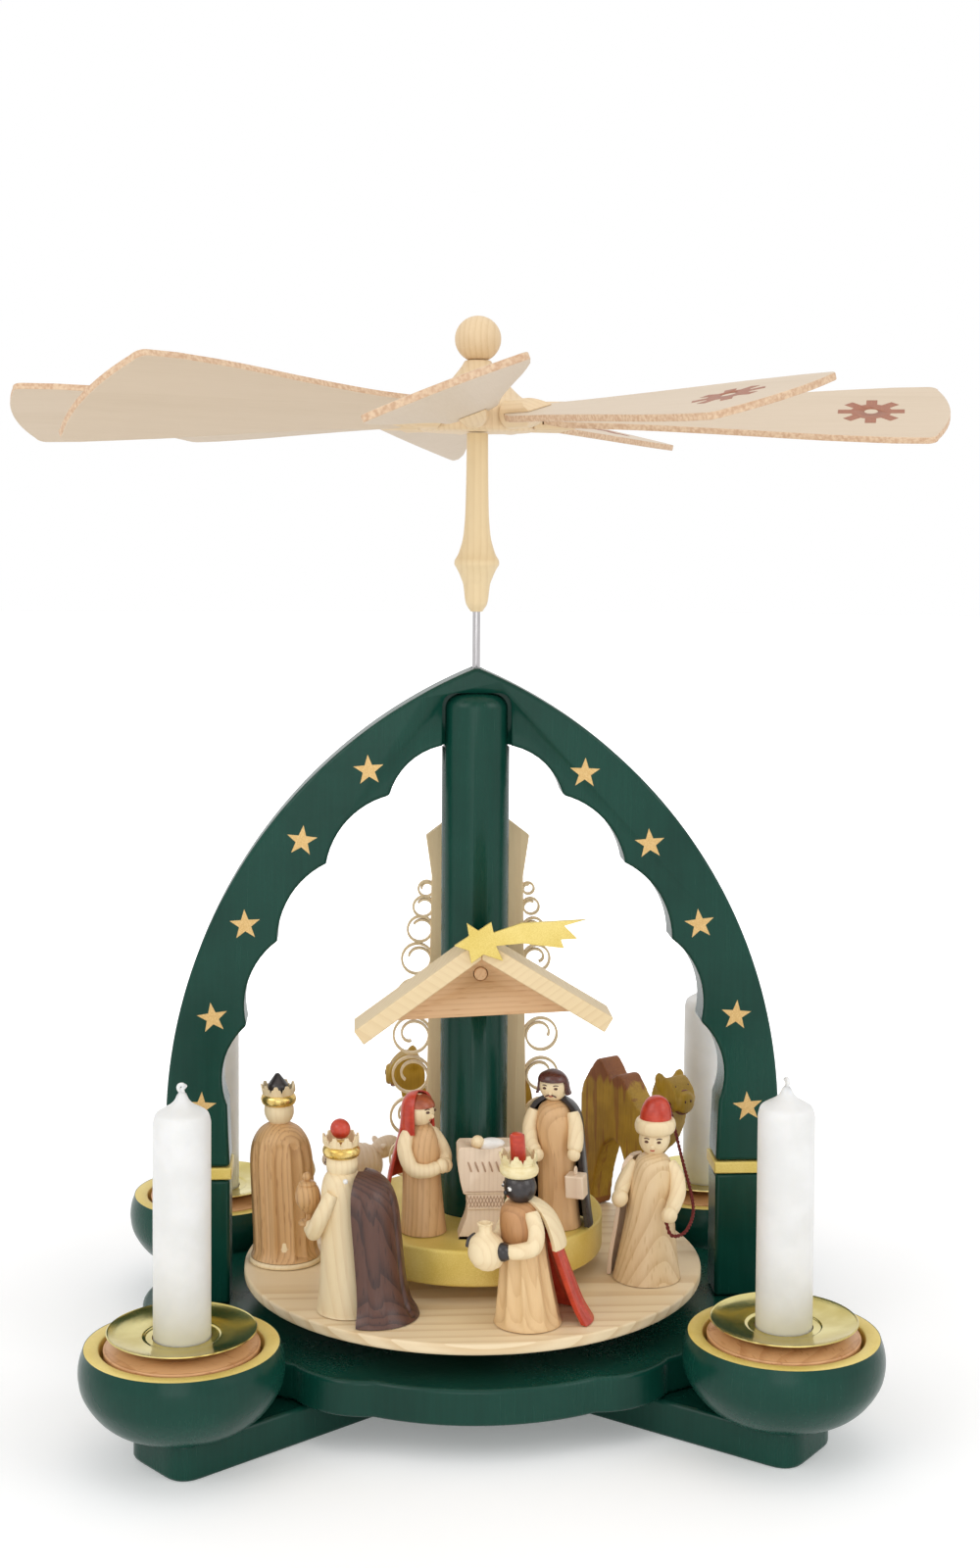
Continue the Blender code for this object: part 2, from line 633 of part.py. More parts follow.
def make_column(lacquer):
    """The bored column, slotted at its top so that it laps over the arch's crown."""
    bore = SHAFT_RADIUS + SHAFT_CLEARANCE
    profile = [(bore, COLUMN_BOTTOM), (COLUMN_RADIUS, COLUMN_BOTTOM)]
    for step in range(5):
        angle = TURN / 4 * step / 4
        profile.append(
            (COLUMN_RADIUS - COLUMN_ROUNDING * (1 - math.cos(angle)),
             COLUMN_TOP_HEIGHT - COLUMN_ROUNDING * (1 - math.sin(angle)))
        )
    profile.append((bore, COLUMN_TOP_HEIGHT))
    column = turned("column", profile, 24, lacquer, closed=True)
    wide = COLUMN_RADIUS + OVERRUN
    deep = WEB_THICKNESS / 2 + GAP
    cut(column, box_mesh((-wide, -deep, ARCH_CROWN - GAP), (wide, deep, COLUMN_TOP_HEIGHT + OVERRUN)))
    hole = DOWEL_RADIUS + GAP
    dowel_at = (ROOF_CENTRE_X, 0.0, gable_apex() - DOWEL_BELOW_APEX)
    start = (dowel_at[0], HUT_BACK_Y - OVERRUN, dowel_at[2])
    end = (dowel_at[0], HUT_BACK_Y + DOWEL_BITE + 2 * GAP, dowel_at[2])
    cut(column, rod_mesh(start, end, hole, 12))


def make_podium(gold):
    """A fixed disc with a round seat for the column's foot and a bore for the shaft."""
    bore = SHAFT_RADIUS + SHAFT_CLEARANCE
    seat = COLUMN_RADIUS + GAP
    seat_floor = PODIUM_TOP - COLUMN_SEAT
    edge = PODIUM_EDGE
    turned(
        "podium",
        [(bore, PODIUM_BOTTOM), (PODIUM_RADIUS - edge, PODIUM_BOTTOM), (PODIUM_RADIUS, PODIUM_BOTTOM + edge),
         (PODIUM_RADIUS, PODIUM_TOP - edge), (PODIUM_RADIUS - edge, PODIUM_TOP), (seat, PODIUM_TOP),
         (seat, seat_floor), (bore, seat_floor)],
        28,
        gold,
        closed=True,
    )


def gable_apex():
    return GABLE_FOOT_HEIGHT + GABLE_HALF_WIDTH * math.tan(ROOF_SLOPE)


def make_hut(pale, brown, gold):
    """Two roof boards on a gable, held to the column by one dowel, on which the hut hangs a little askew."""
    dowel_height = gable_apex() - DOWEL_BELOW_APEX
    frame = add_empty("hut_frame", (ROOF_CENTRE_X, HUT_BACK_Y, dowel_height), (0.0, -ROOF_TILT, 0.0))
    foot = GABLE_FOOT_HEIGHT - dowel_height
    apex = DOWEL_BELOW_APEX
    gable = upright(
        "gable",
        [(-GABLE_HALF_WIDTH, foot), (GABLE_HALF_WIDTH, foot), (0.0, apex)],
        -GABLE_THICKNESS,
        0.0,
        brown,
        parent=frame,
    )
    cut(gable, rod_mesh((0.0, -GABLE_THICKNESS - OVERRUN, 0.0), (0.0, OVERRUN, 0.0), DOWEL_RADIUS + GAP, 12))
    add_object(
        "dowel",
        rod_mesh((0.0, -GABLE_THICKNESS, 0.0), (0.0, DOWEL_BITE, 0.0), DOWEL_RADIUS, 12),
        brown,
        parent=frame,
    )
    slope = (math.cos(ROOF_SLOPE), -math.sin(ROOF_SLOPE))
    normal = (math.sin(ROOF_SLOPE), math.cos(ROOF_SLOPE))
    ridge_low = (GAP / 2, apex + GAP / math.cos(ROOF_SLOPE))
    mitre = ROOF_THICKNESS / math.cos(ROOF_SLOPE)
    end_low = (ridge_low[0] + slope[0] * ROOF_LENGTH, ridge_low[1] + slope[1] * ROOF_LENGTH)
    end_high = (end_low[0] + normal[0] * ROOF_THICKNESS, end_low[1] + normal[1] * ROOF_THICKNESS)
    board = [ridge_low, end_low, end_high, (ridge_low[0], ridge_low[1] + mitre)]
    for side, sign in (("left", -1), ("right", 1)):
        upright(f"roof_{side}", [(sign * x, z) for x, z in board], -ROOF_DEPTH, 0.0, pale, parent=frame)
    star_at = apex + COMET_ABOVE_APEX
    outline = [(x * COMET_LENGTH, star_at + z * COMET_LENGTH) for x, z in COMET_SHARES]
    front = -ROOF_DEPTH - GAP
    upright("comet", outline, front - COMET_THICKNESS, front, gold, parent=frame)


def curl_ribbon(centre, radius, sign):
    """A shaving that leaves the trunk at its side, goes up over the top and hooks in under itself."""
    shrink = CURL_SHAVING + 2 * GAP
    turns = 1 + CURL_HOOK_TURN * radius / CURL_RADIUS
    outer, inner = [], []
    for step in range(CURL_POINTS):
        share = step / (CURL_POINTS - 1)
        angle = TURN * (0.5 - share * turns)
        hook = max(0.0, share * turns - 1)
        reach = radius - shrink * share * turns - hook * radius * CURL_HOOK_SHARE
        outer.append((centre[0] + sign * reach * math.cos(angle), centre[1] + reach * math.sin(angle)))
        reach -= CURL_SHAVING
        inner.append((centre[0] + sign * reach * math.cos(angle), centre[1] + reach * math.sin(angle)))
    return outer + inner[::-1]


def make_tree(pale):
    """A pointed trunk board on the podium behind the column, with shavings curled along both edges."""
    back = TREE_FRONT_Y + TREE_THICKNESS
    low = PODIUM_TOP + GAP
    height = TREE_TOP_HEIGHT - low
    waist = (TREE_HALF_WIDTH * TREE_WAIST_SHARE, low + height * TREE_WAIST_HEIGHT_SHARE)
    half = [(TREE_HALF_WIDTH, low), waist, (TREE_HALF_WIDTH, TREE_SHOULDER_HEIGHT)]
    outline = half + [(0.0, TREE_TOP_HEIGHT)] + [(-x, z) for x, z in reversed(half)]
    outline = [(TREE_CENTRE_X + x, z) for x, z in outline]
    tree = upright("curl_tree", outline, TREE_FRONT_Y, back, pale)
    inset = TREE_THICKNESS * (1 - CURL_WIDTH_SHARE) / 2
    for sign in (-1, 1):
        for level, size in CURL_LEVEL_SHARES:
            radius = CURL_RADIUS * size
            up = level / TREE_WAIST_HEIGHT_SHARE
            edge = TREE_HALF_WIDTH * (1 - (1 - TREE_WAIST_SHARE) * up)
            out = edge + radius - CURL_SHAVING * CURL_SUNK_SHARE
            centre = (TREE_CENTRE_X + sign * out, low + height * level)
            ribbon = curl_ribbon(centre, radius, sign)
            fuse(tree, upright_mesh(ribbon, TREE_FRONT_Y + inset, back - inset))


def make_candle_seats(lacquer, beech, brass, wax):
    """Four bowls on the bar ends, each with a wooden insert, a drip dish and a candle in its socket."""
    hole = CANDLE_RADIUS + CANDLE_CLEARANCE
    well_floor = BOWL_TOP - BOWL_WELL_DEPTH
    bowl = [(0.0, BOWL_BOTTOM), (BOWL_FOOT_RADIUS, BOWL_BOTTOM)]
    bowl += [(BOWL_RADIUS * r, BOWL_BOTTOM + BOWL_HEIGHT * z) for r, z in BOWL_SIDE_SHARES]
    bowl += [(BOWL_RIM_RADIUS, BOWL_TOP), (BOWL_WELL_RADIUS, BOWL_TOP), (BOWL_WELL_RADIUS, well_floor)]
    bowl.append((0.0, well_floor))
    side = BOWL_WELL_RADIUS - INSERT_SIDE_GAP
    insert = [(0.0, INSERT_BOTTOM), (side, INSERT_BOTTOM), (side, INSERT_TOP - INSERT_COVE),
              (INSERT_TOP_RADIUS, INSERT_TOP), (hole, INSERT_TOP), (hole, SOCKET_FLOOR), (0.0, SOCKET_FLOOR)]
    flat = INSERT_TOP + GAP
    wall = [(DISH_FLAT_RADIUS, 0.0)]
    reach = DISH_RADIUS - DISH_FLAT_RADIUS
    wall += [(DISH_FLAT_RADIUS + reach * r, DISH_RISE * z) for r, z in DISH_CURVE_SHARES]
    dish = [(hole, flat)] + [(r, flat + z) for r, z in wall]
    dish += [(r, flat + z + DISH_THICKNESS) for r, z in reversed(wall)] + [(hole, flat + DISH_THICKNESS)]
    shoulder = CANDLE_BOTTOM + CANDLE_LENGTH
    neck = shoulder + CANDLE_SHOULDER
    candle = [(0.0, CANDLE_BOTTOM), (CANDLE_RADIUS, CANDLE_BOTTOM), (CANDLE_RADIUS, shoulder),
              (CANDLE_TIP_RADIUS, neck), (WICK_RADIUS, neck + WICK_RADIUS), (WICK_RADIUS, neck + WICK_LENGTH),
              (0.0, neck + WICK_LENGTH)]
    corners = (("front_left", -1, -1), ("front_right", 1, -1), ("back_left", -1, 1), ("back_right", 1, 1))
    for name, sx, sy in corners:
        spot = (sx * CANDLE_X, sy * CANDLE_Y, 0.0)
        turned(f"bowl_{name}", bowl, 16, lacquer, at=spot)
        turned(f"insert_{name}", insert, 16, beech, at=spot)
        turned(f"dish_{name}", dish, 16, brass, closed=True, at=spot)
        turned(f"candle_{name}", candle, 12, wax, at=spot)


def make_turntable(pale, steel, turner):
    """The disc that carries the walking figures, its hub below, and the shaft through both."""
    hole = SHAFT_RADIUS + GAP
    lip = TABLE_BOTTOM + TABLE_THICKNESS * TABLE_LIP_SHARE
    turned(
        "turntable",
        [(hole, TABLE_BOTTOM), (TABLE_RADIUS - TABLE_CHAMFER, TABLE_BOTTOM), (TABLE_RADIUS, lip),
         (TABLE_RADIUS, TABLE_TOP_HEIGHT), (hole, TABLE_TOP_HEIGHT)],
        40,
        pale,
        closed=True,
        parent=turner,
    )
    hub_low = CUP_TOP + GAP
    hub_high = TABLE_BOTTOM - GAP
    turned(
        "turntable_hub",
        [(hole, hub_low), (TABLE_HUB_FOOT_RADIUS, hub_low), (TABLE_HUB_RADIUS, (hub_low + hub_high) / 2),
         (TABLE_HUB_RADIUS, hub_high), (hole, hub_high)],
        12,
        pale,
        closed=True,
        parent=turner,
    )
    add_object(
        "shaft",
        rod_mesh((0.0, 0.0, SHAFT_BOTTOM), (0.0, 0.0, SHAFT_TOP), SHAFT_RADIUS, 10),
        steel,
        parent=turner,
    )


def blade_outline():
    """A blade seen from above, along +X from root to tip: hollowed sides, round tip corners, a bowed tip."""
    tip = BLADE_TIP_WIDTH / 2
    corner = BLADE_TIP_CORNER
    tip_side = ROTOR_RADIUS - BLADE_TIP_BULGE
    run = tip_side - corner - BLADE_ROOT_RADIUS
    side = [(BLADE_ROOT_RADIUS + run * x, tip * y) for x, y in BLADE_SIDE_SHARES]
    upper = []
    for step in range(4):
        angle = TURN / 4 * step / 3
        upper.append((tip_side - corner + corner * math.cos(angle), tip - corner + corner * math.sin(angle)))
    lower = [(x, -y) for x, y in reversed(upper)]
    bow = arc_through(lower[-1], upper[0], BLADE_TIP_BULGE, 4)
    return [(x, -y) for x, y in side] + lower[:-1] + bow + upper + side[::-1]


def stem_mesh():
    """A turned stem along +X: a thin tenon in the hub and a thick dowel outside, drawn in at the blade."""
    shoulder = HUB_RADIUS + GAP
    end = shoulder + STEM_LENGTH
    profile = [
        (0.0, HUB_RADIUS - TENON_LENGTH), (TENON_RADIUS, HUB_RADIUS - TENON_LENGTH), (TENON_RADIUS, shoulder),
        (STEM_RADIUS, shoulder), (STEM_RADIUS, end), (STEM_RADIUS * STEM_TIP_SHARE, end + STEM_TIP_LENGTH),
        (0.0, end + STEM_TIP_LENGTH),
    ]
    mesh = turned_mesh(profile, 8)
    bmesh.ops.rotate(mesh, verts=mesh.verts, cent=(0.0, 0.0, 0.0), matrix=Matrix.Rotation(TURN / 4, 3, "Y"))
    return mesh


def make_rotor(pale, beech, turner):
    """A turned spindle, hub and ball on the shaft, with pitched blades on stems in the hub's holes."""
    height = SPINDLE_TOP - SPINDLE_FOOT_HEIGHT
    side = [(r * SPINDLE_COLLAR_RADIUS, SPINDLE_FOOT_HEIGHT + z * height) for r, z in SPINDLE_SHARES]
    hole = SHAFT_RADIUS + GAP
    hole_top = SHAFT_TOP + GAP
    turned(
        "spindle",
        [(0.0, hole_top), (hole, hole_top), (hole, SPINDLE_FOOT_HEIGHT)] + side + [(0.0, SPINDLE_TOP)],
        12,
        pale,
        parent=turner,
    )
    cone_top = HUB_TOP + HUB_CONE_HEIGHT
    hub = turned(
        "rotor_hub",
        [(0.0, HUB_BOTTOM), (HUB_FOOT_RADIUS, HUB_BOTTOM), (HUB_RADIUS, BLADE_HEIGHT - HUB_BELT / 2),
         (HUB_RADIUS, BLADE_HEIGHT + HUB_BELT / 2), (HUB_SHOULDER_RADIUS, HUB_TOP),
         (HUB_NECK_RADIUS, cone_top), (0.0, cone_top)],
        24,
        beech,
        parent=turner,
    )
    ball_flat = BALL_RADIUS * BALL_FLAT_SHARE
    ball_low = math.sqrt(BALL_RADIUS**2 - ball_flat**2)
    centre = cone_top + GAP + ball_low
    ball = [(0.0, centre - ball_low)]
    start = -math.acos(ball_flat / BALL_RADIUS)
    for step in range(6):
        angle = start + (TURN / 4 - start) * step / 6
        ball.append((BALL_RADIUS * math.cos(angle), centre + BALL_RADIUS * math.sin(angle)))
    turned("ball", ball + [(0.0, centre + BALL_RADIUS)], 12, beech, parent=turner)
    inner = HUB_RADIUS - TENON_LENGTH - GAP
    for number, (stray, pitch) in enumerate(BLADE_SETTINGS):
        azimuth = ROTOR_TURN + TURN * number / len(BLADE_SETTINGS) + stray
        way = Vector((math.cos(azimuth), math.sin(azimuth), 0.0))
        lift = Vector((0.0, 0.0, BLADE_HEIGHT))
        outer = HUB_RADIUS + OVERRUN
        cut(hub, rod_mesh(way * inner + lift, way * outer + lift, TENON_RADIUS + TENON_CLEARANCE, 8))
        pivot = add_empty(f"blade_pivot_{number}", (0.0, 0.0, BLADE_HEIGHT), (0.0, 0.0, azimuth), turner)
        blade = prism(
            f"blade_{number}", blade_outline(), -BLADE_THICKNESS / 2, BLADE_THICKNESS / 2, pale, parent=pivot
        )
        blade.rotation_euler = (pitch, 0.0, 0.0)
        fuse(blade, stem_mesh())


def figure_body(name, height, base_radius, head_radius, hat_shares, surface, frame):
    """A robe, neck and head turned in one piece, and a hat of (radius, height) shares of the head."""
    profile = [(0.0, 0.0)]
    profile += [(r * base_radius, z * height) for r, z in ROBE_SHARES]
    centre = height + head_radius * HEAD_LIFT_SHARE
    profile += [(r * head_radius, centre + z * head_radius) for r, z in HEAD_SHARES + hat_shares]
    profile.append((0.0, profile[-1][1]))
    return turned(name, profile, 10, surface, parent=frame)


def cloak_mesh(height, base_radius, spread):
    """A carved cloak round the figure's back, from the shoulders to the floor, let into the robe."""
    mesh = bmesh.new()
    steps = 5
    grid = []
    for outside in (True, False):
        rows = []
        for share, level in CLOAK_SHARES:
            radius = base_radius * (share if outside else CLOAK_CORE_SHARE)
            ring = []
            for step in range(steps + 1):
                angle = TURN / 2 + spread * (2 * step / steps - 1)
                across, aside = radius * math.cos(angle), radius * math.sin(angle)
                ring.append(mesh.verts.new((across, aside, level * height)))
            rows.append(ring)
        grid.append(rows)
    outer, inner = grid
    for rows in grid:
        for low, high in zip(rows, rows[1:]):
            for step in range(steps):
                mesh.faces.new((low[step], low[step + 1], high[step + 1], high[step]))
    for near, far in ((outer[0], inner[0]), (outer[-1], inner[-1])):
        for step in range(steps):
            mesh.faces.new((near[step], near[step + 1], far[step + 1], far[step]))
    for edge in (0, -1):
        for row in range(len(CLOAK_SHARES) - 1):
            mesh.faces.new((outer[row][edge], outer[row + 1][edge], inner[row + 1][edge], inner[row][edge]))
    return mesh


def limb_mesh(path, sides):
    """A limb lofted through (point, radius) stations, closed at both ends."""
    mesh = bmesh.new()
    points = [Vector(point) for point, _ in path]
    last = len(points) - 1
    ways = [(points[min(n + 1, last)] - points[max(n - 1, 0)]).normalized() for n in range(last + 1)]
    turn = Vector((0.0, 0.0, 1.0)).rotation_difference(ways[0])
    rings = []
    for number, (point, (_, radius)) in enumerate(zip(points, path)):
        if number:
            turn = ways[number - 1].rotation_difference(ways[number]) @ turn
        ring = []
        for side in range(sides):
            angle = TURN * side / sides
            rim = Vector((radius * math.cos(angle), radius * math.sin(angle), 0.0))
            ring.append(mesh.verts.new(point + turn @ rim))
        rings.append(ring)
    for low, high in zip(rings, rings[1:]):
        for side in range(sides):
            after = (side + 1) % sides
            mesh.faces.new((low[side], low[after], high[after], high[side]))
    mesh.faces.new(rings[0])
    mesh.faces.new(rings[-1])
    return mesh


def arm(body, height, base_radius, sign, shares=SLEEVE_SHARES):
    """One bent sleeve from the shoulder to the hand, on a figure that faces +X."""
    path = []
    for ahead, aside, level, thick in shares:
        point = Vector((ahead * base_radius, sign * aside * base_radius, level * height))
        path.append((point, thick * ARM_RADIUS))
    fuse(body, limb_mesh(path, 6))


def walking_frame(name, place, turner):
    """An empty on the turntable, a figure's step out from the middle of the walk."""
    direction, step, facing = place
    out = WALK_MIDDLE + step
    spot = (out * math.cos(direction), out * math.sin(direction), TABLE_TOP_HEIGHT + GAP)
    return add_empty(f"{name}_frame", spot, (0.0, 0.0, facing), turner)


def standing_frame(name, place_shares, facing):
    """An empty on the podium."""
    spot = (PODIUM_RADIUS * place_shares[0], PODIUM_RADIUS * place_shares[1], PODIUM_TOP + GAP)
    return add_empty(f"{name}_frame", spot, (0.0, 0.0, facing))


def make_kings(surfaces, turner):
    """Three crowned kings in cloaks on the turntable."""
    ahead, level = GIFT_SHARES
    gift_at = (ahead * KING_BASE_RADIUS, 0.0, level * KING_HEIGHT)
    for name, place in KING_PLACES.items():
        frame = walking_frame(name, place, turner)
        king = figure_body(
            name, KING_HEIGHT, KING_BASE_RADIUS, KING_HEAD_RADIUS, CROWN_SHARES, surfaces[name], frame
        )
        fuse(king, cloak_mesh(KING_HEIGHT, KING_BASE_RADIUS, KING_CLOAK_SPREADS[name]))
        for sign in (-1, 1):
            arm(king, KING_HEIGHT, KING_BASE_RADIUS, sign)
        fuse(king, ball_mesh(gift_at, GIFT_RADIUS, 6))


def make_attendant(pale, turner):
    """The camel's attendant with a round cap and a band."""
    frame = walking_frame("attendant", ATTENDANT_PLACE, turner)
    body = figure_body(
        "attendant", ATTENDANT_HEIGHT, ATTENDANT_BASE_RADIUS, ATTENDANT_HEAD_RADIUS, CAP_SHARES, pale, frame
    )
    for sign in (-1, 1):
        arm(body, ATTENDANT_HEIGHT, ATTENDANT_BASE_RADIUS, sign, HANGING_SLEEVE_SHARES)


def make_holy_family(surfaces):
    """Mary, Joseph and the crib, which stand still on the podium."""
    mary_frame = standing_frame("mary", MARY_PLACE_SHARES, MARY_TURN)
    mary = figure_body(
        "mary", MARY_HEIGHT, MARY_BASE_RADIUS, MARY_HEAD_RADIUS, HAIR_SHARES, surfaces["mary"], mary_frame
    )
    fuse(mary, cloak_mesh(MARY_HEIGHT, MARY_BASE_RADIUS, VEIL_SPREAD))
    for sign in (-1, 1):
        arm(mary, MARY_HEIGHT, MARY_BASE_RADIUS, sign)
    joseph_frame = standing_frame("joseph", JOSEPH_PLACE_SHARES, JOSEPH_TURN)
    joseph = figure_body(
        "joseph", JOSEPH_HEIGHT, JOSEPH_BASE_RADIUS, JOSEPH_HEAD_RADIUS, HAIR_SHARES, surfaces["joseph"],
        joseph_frame,
    )
    fuse(joseph, cloak_mesh(JOSEPH_HEIGHT, JOSEPH_BASE_RADIUS, JOSEPH_CLOAK_SPREAD))
    for sign in (-1, 1):
        arm(joseph, JOSEPH_HEIGHT, JOSEPH_BASE_RADIUS, sign)
    crib_frame = standing_frame("crib", CRIB_PLACE_SHARES, CRIB_TURN)
    half = CRIB_LENGTH / 2
    right = [(half * x, CRIB_HEIGHT * z) for x, z in CRIB_WAIST_SHARES]
    outline = right + [(-x, z) for x, z in reversed(right)]
    crib = upright("crib", outline, -CRIB_DEPTH / 2, CRIB_DEPTH / 2, surfaces["crib"], parent=crib_frame)
    fuse(crib, ball_mesh((0.0, 0.0, CRIB_HEIGHT), CRIB_CHILD_RADIUS, 8, CRIB_CHILD_STRETCH_SHARES))


def make_animals(surfaces, turner):
    """Two sawn camels and a sheep with a ridged turned body."""
    outline = [(x * CAMEL_LENGTH, z * CAMEL_HEIGHT) for x, z in CAMEL_SHARES]
    for name, place in (("camel", CAMEL_PLACE), ("camel_far", FAR_CAMEL_PLACE)):
        frame = walking_frame(name, place, turner)
        half = CAMEL_THICKNESS / 2
        camel = upright(name, outline, -half, half, surfaces["camel"], parent=frame)
        soften(camel, CAMEL_EDGE)
    frame = walking_frame("sheep", SHEEP_PLACE, turner)
    profile = [(0.0, -SHEEP_LENGTH / 2)]
    count = 2 * SHEEP_RIDGES
    for step in range(count + 1):
        along = step / count * 2 - 1
        ridge = 1 + SHEEP_RIDGE_SHARE * (1 if step % 2 else -1) / 2
        radius = SHEEP_BODY_RADIUS * math.sqrt(max(SHEEP_END_SHARE, 1 - along * along)) * ridge
        profile.append((radius, along * SHEEP_LENGTH / 2))
    profile.append((0.0, SHEEP_LENGTH / 2))
    mesh = turned_mesh(profile, 10)
    bmesh.ops.rotate(mesh, verts=mesh.verts, cent=(0.0, 0.0, 0.0), matrix=Matrix.Rotation(TURN / 4, 3, "Y"))
    bmesh.ops.translate(mesh, verts=mesh.verts, vec=(0.0, 0.0, SHEEP_BODY_HEIGHT))
    sheep = add_object("sheep", mesh, surfaces["sheep"], parent=frame)
    leg_along, leg_aside = SHEEP_LEG_SHARES
    for sx in (-1, 1):
        for sy in (-1, 1):
            spot = (sx * SHEEP_LENGTH * leg_along, sy * SHEEP_BODY_RADIUS * leg_aside)
            fuse(sheep, rod_mesh((*spot, 0.0), (*spot, SHEEP_BODY_HEIGHT), SHEEP_LEG_RADIUS, 6))
    ahead, above = SHEEP_HEAD_SHARES
    centre = (SHEEP_LENGTH * ahead, 0.0, SHEEP_BODY_HEIGHT + SHEEP_BODY_RADIUS * above)
    fuse(sheep, ball_mesh(centre, SHEEP_HEAD_RADIUS, 8, SHEEP_HEAD_STRETCH_SHARES))


def make_lead(surface, turner):
    """The thin rope that the attendant holds, from the camel's cheek to a short end at the hand."""
    path = [(point, LEAD_RADIUS) for point in LEAD_ROUTE]
    add_object("lead", limb_mesh(path, 5), surface, parent=turner)


def build():
    for item in list(bpy.data.objects):
        bpy.data.objects.remove(item)
    lacquer = material("green_lacquer", (0.013, 0.061, 0.045), 0.25)
    gold = material("gold_paint", (0.55, 0.42, 0.13), 0.45, 0.4)
    brass = material("brass", (0.78, 0.68, 0.32), 0.2, 1.0)
    steel = material("steel", (0.55, 0.53, 0.50), 0.25, 1.0)
    pale = material("pale_wood", (0.78, 0.62, 0.40), 0.5)
    beech = material("beech", (0.62, 0.40, 0.22), 0.5)
    wax = material("wax", (0.86, 0.86, 0.83), 0.4)
    figures = {
        "king_left": material("oak_wood", (0.42, 0.24, 0.10), 0.5),
        "king_front_left": pale,
        "king_front": pale,
        "mary": material("walnut_light", (0.38, 0.23, 0.12), 0.5),
        "joseph": material("cherry_light", (0.48, 0.30, 0.16), 0.5),
        "crib": material("pear_wood", (0.60, 0.45, 0.36), 0.5),
        "camel": material("camel_stain", (0.22, 0.13, 0.01), 0.45),
        "sheep": material("ash_wood", (0.50, 0.37, 0.25), 0.5),
        "lead": material("rope_red", (0.22, 0.04, 0.02), 0.6),
    }
    turner = add_empty("turning_frame", (0.0, 0.0, 0.0))
    make_feet(lacquer)
    make_base(lacquer, brass)
    make_legs(lacquer, gold)
    make_arch(lacquer)
    make_column(lacquer)
    make_podium(gold)
    make_hut(pale, beech, gold)
    make_tree(pale)
    make_candle_seats(lacquer, beech, brass, wax)
    make_turntable(pale, steel, turner)
    make_rotor(pale, beech, turner)
    make_kings(figures, turner)
    make_attendant(pale, turner)
    make_holy_family(figures)
    make_animals(figures, turner)
    make_lead(figures["lead"], turner)


build()
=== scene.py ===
"""A candle carousel on a white ground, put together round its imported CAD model. Metres, +Z up."""

import math

import bpy
import numpy as np
from mathutils import Matrix, Vector


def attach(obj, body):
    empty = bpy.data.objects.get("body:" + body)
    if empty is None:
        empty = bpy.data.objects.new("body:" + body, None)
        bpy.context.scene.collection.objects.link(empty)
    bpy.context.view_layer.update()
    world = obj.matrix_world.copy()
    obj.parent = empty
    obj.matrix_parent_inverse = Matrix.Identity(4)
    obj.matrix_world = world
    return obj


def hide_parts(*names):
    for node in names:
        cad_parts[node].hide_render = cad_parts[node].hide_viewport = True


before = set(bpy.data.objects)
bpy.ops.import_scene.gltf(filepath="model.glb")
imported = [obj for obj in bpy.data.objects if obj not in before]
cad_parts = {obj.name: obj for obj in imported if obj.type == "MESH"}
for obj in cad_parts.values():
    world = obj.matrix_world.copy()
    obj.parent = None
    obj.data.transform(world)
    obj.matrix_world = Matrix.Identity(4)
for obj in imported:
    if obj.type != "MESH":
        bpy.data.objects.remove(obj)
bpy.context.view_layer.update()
TURN = 2 * math.pi


# The studio: a pale table that runs into a white ground, four soft lamps, and a camera with a normal lens a
# little above the turntable, turned slightly to the right.
CAMERA_PLACE = (-0.037909, -0.684314, 0.275766)
CAMERA_RIGHT = (0.99809, -0.06147, 0.00610)
CAMERA_AHEAD = (0.06170, 0.99687, -0.04936)
LENS = 48.39
FRAME_SHIFT = -0.0984
TABLE_SIZE = 6.0
TABLE_LIT_RADIUS = 0.55
TABLE_GREY = (0.86, 0.86, 0.86, 1.0)
NEAR_GLOW = (0.22, 0.22, 0.22, 1.0)
WHITE = (1.0, 1.0, 1.0, 1.0)
AMBIENT = 0.74
LAMP_AIM = (0.0, 0.0, 0.15)
LAMPS = {
    "lamp_left": ((-1.1, -0.9, 1.1), 0.9, 5.2),
    "lamp_front": ((-0.15, -1.4, 0.40), 0.7, 1.9),
    "lamp_right": ((1.2, -0.8, 0.9), 0.8, 3.6),
    "lamp_above": ((0.1, -0.1, 1.6), 1.2, 3.4),
}


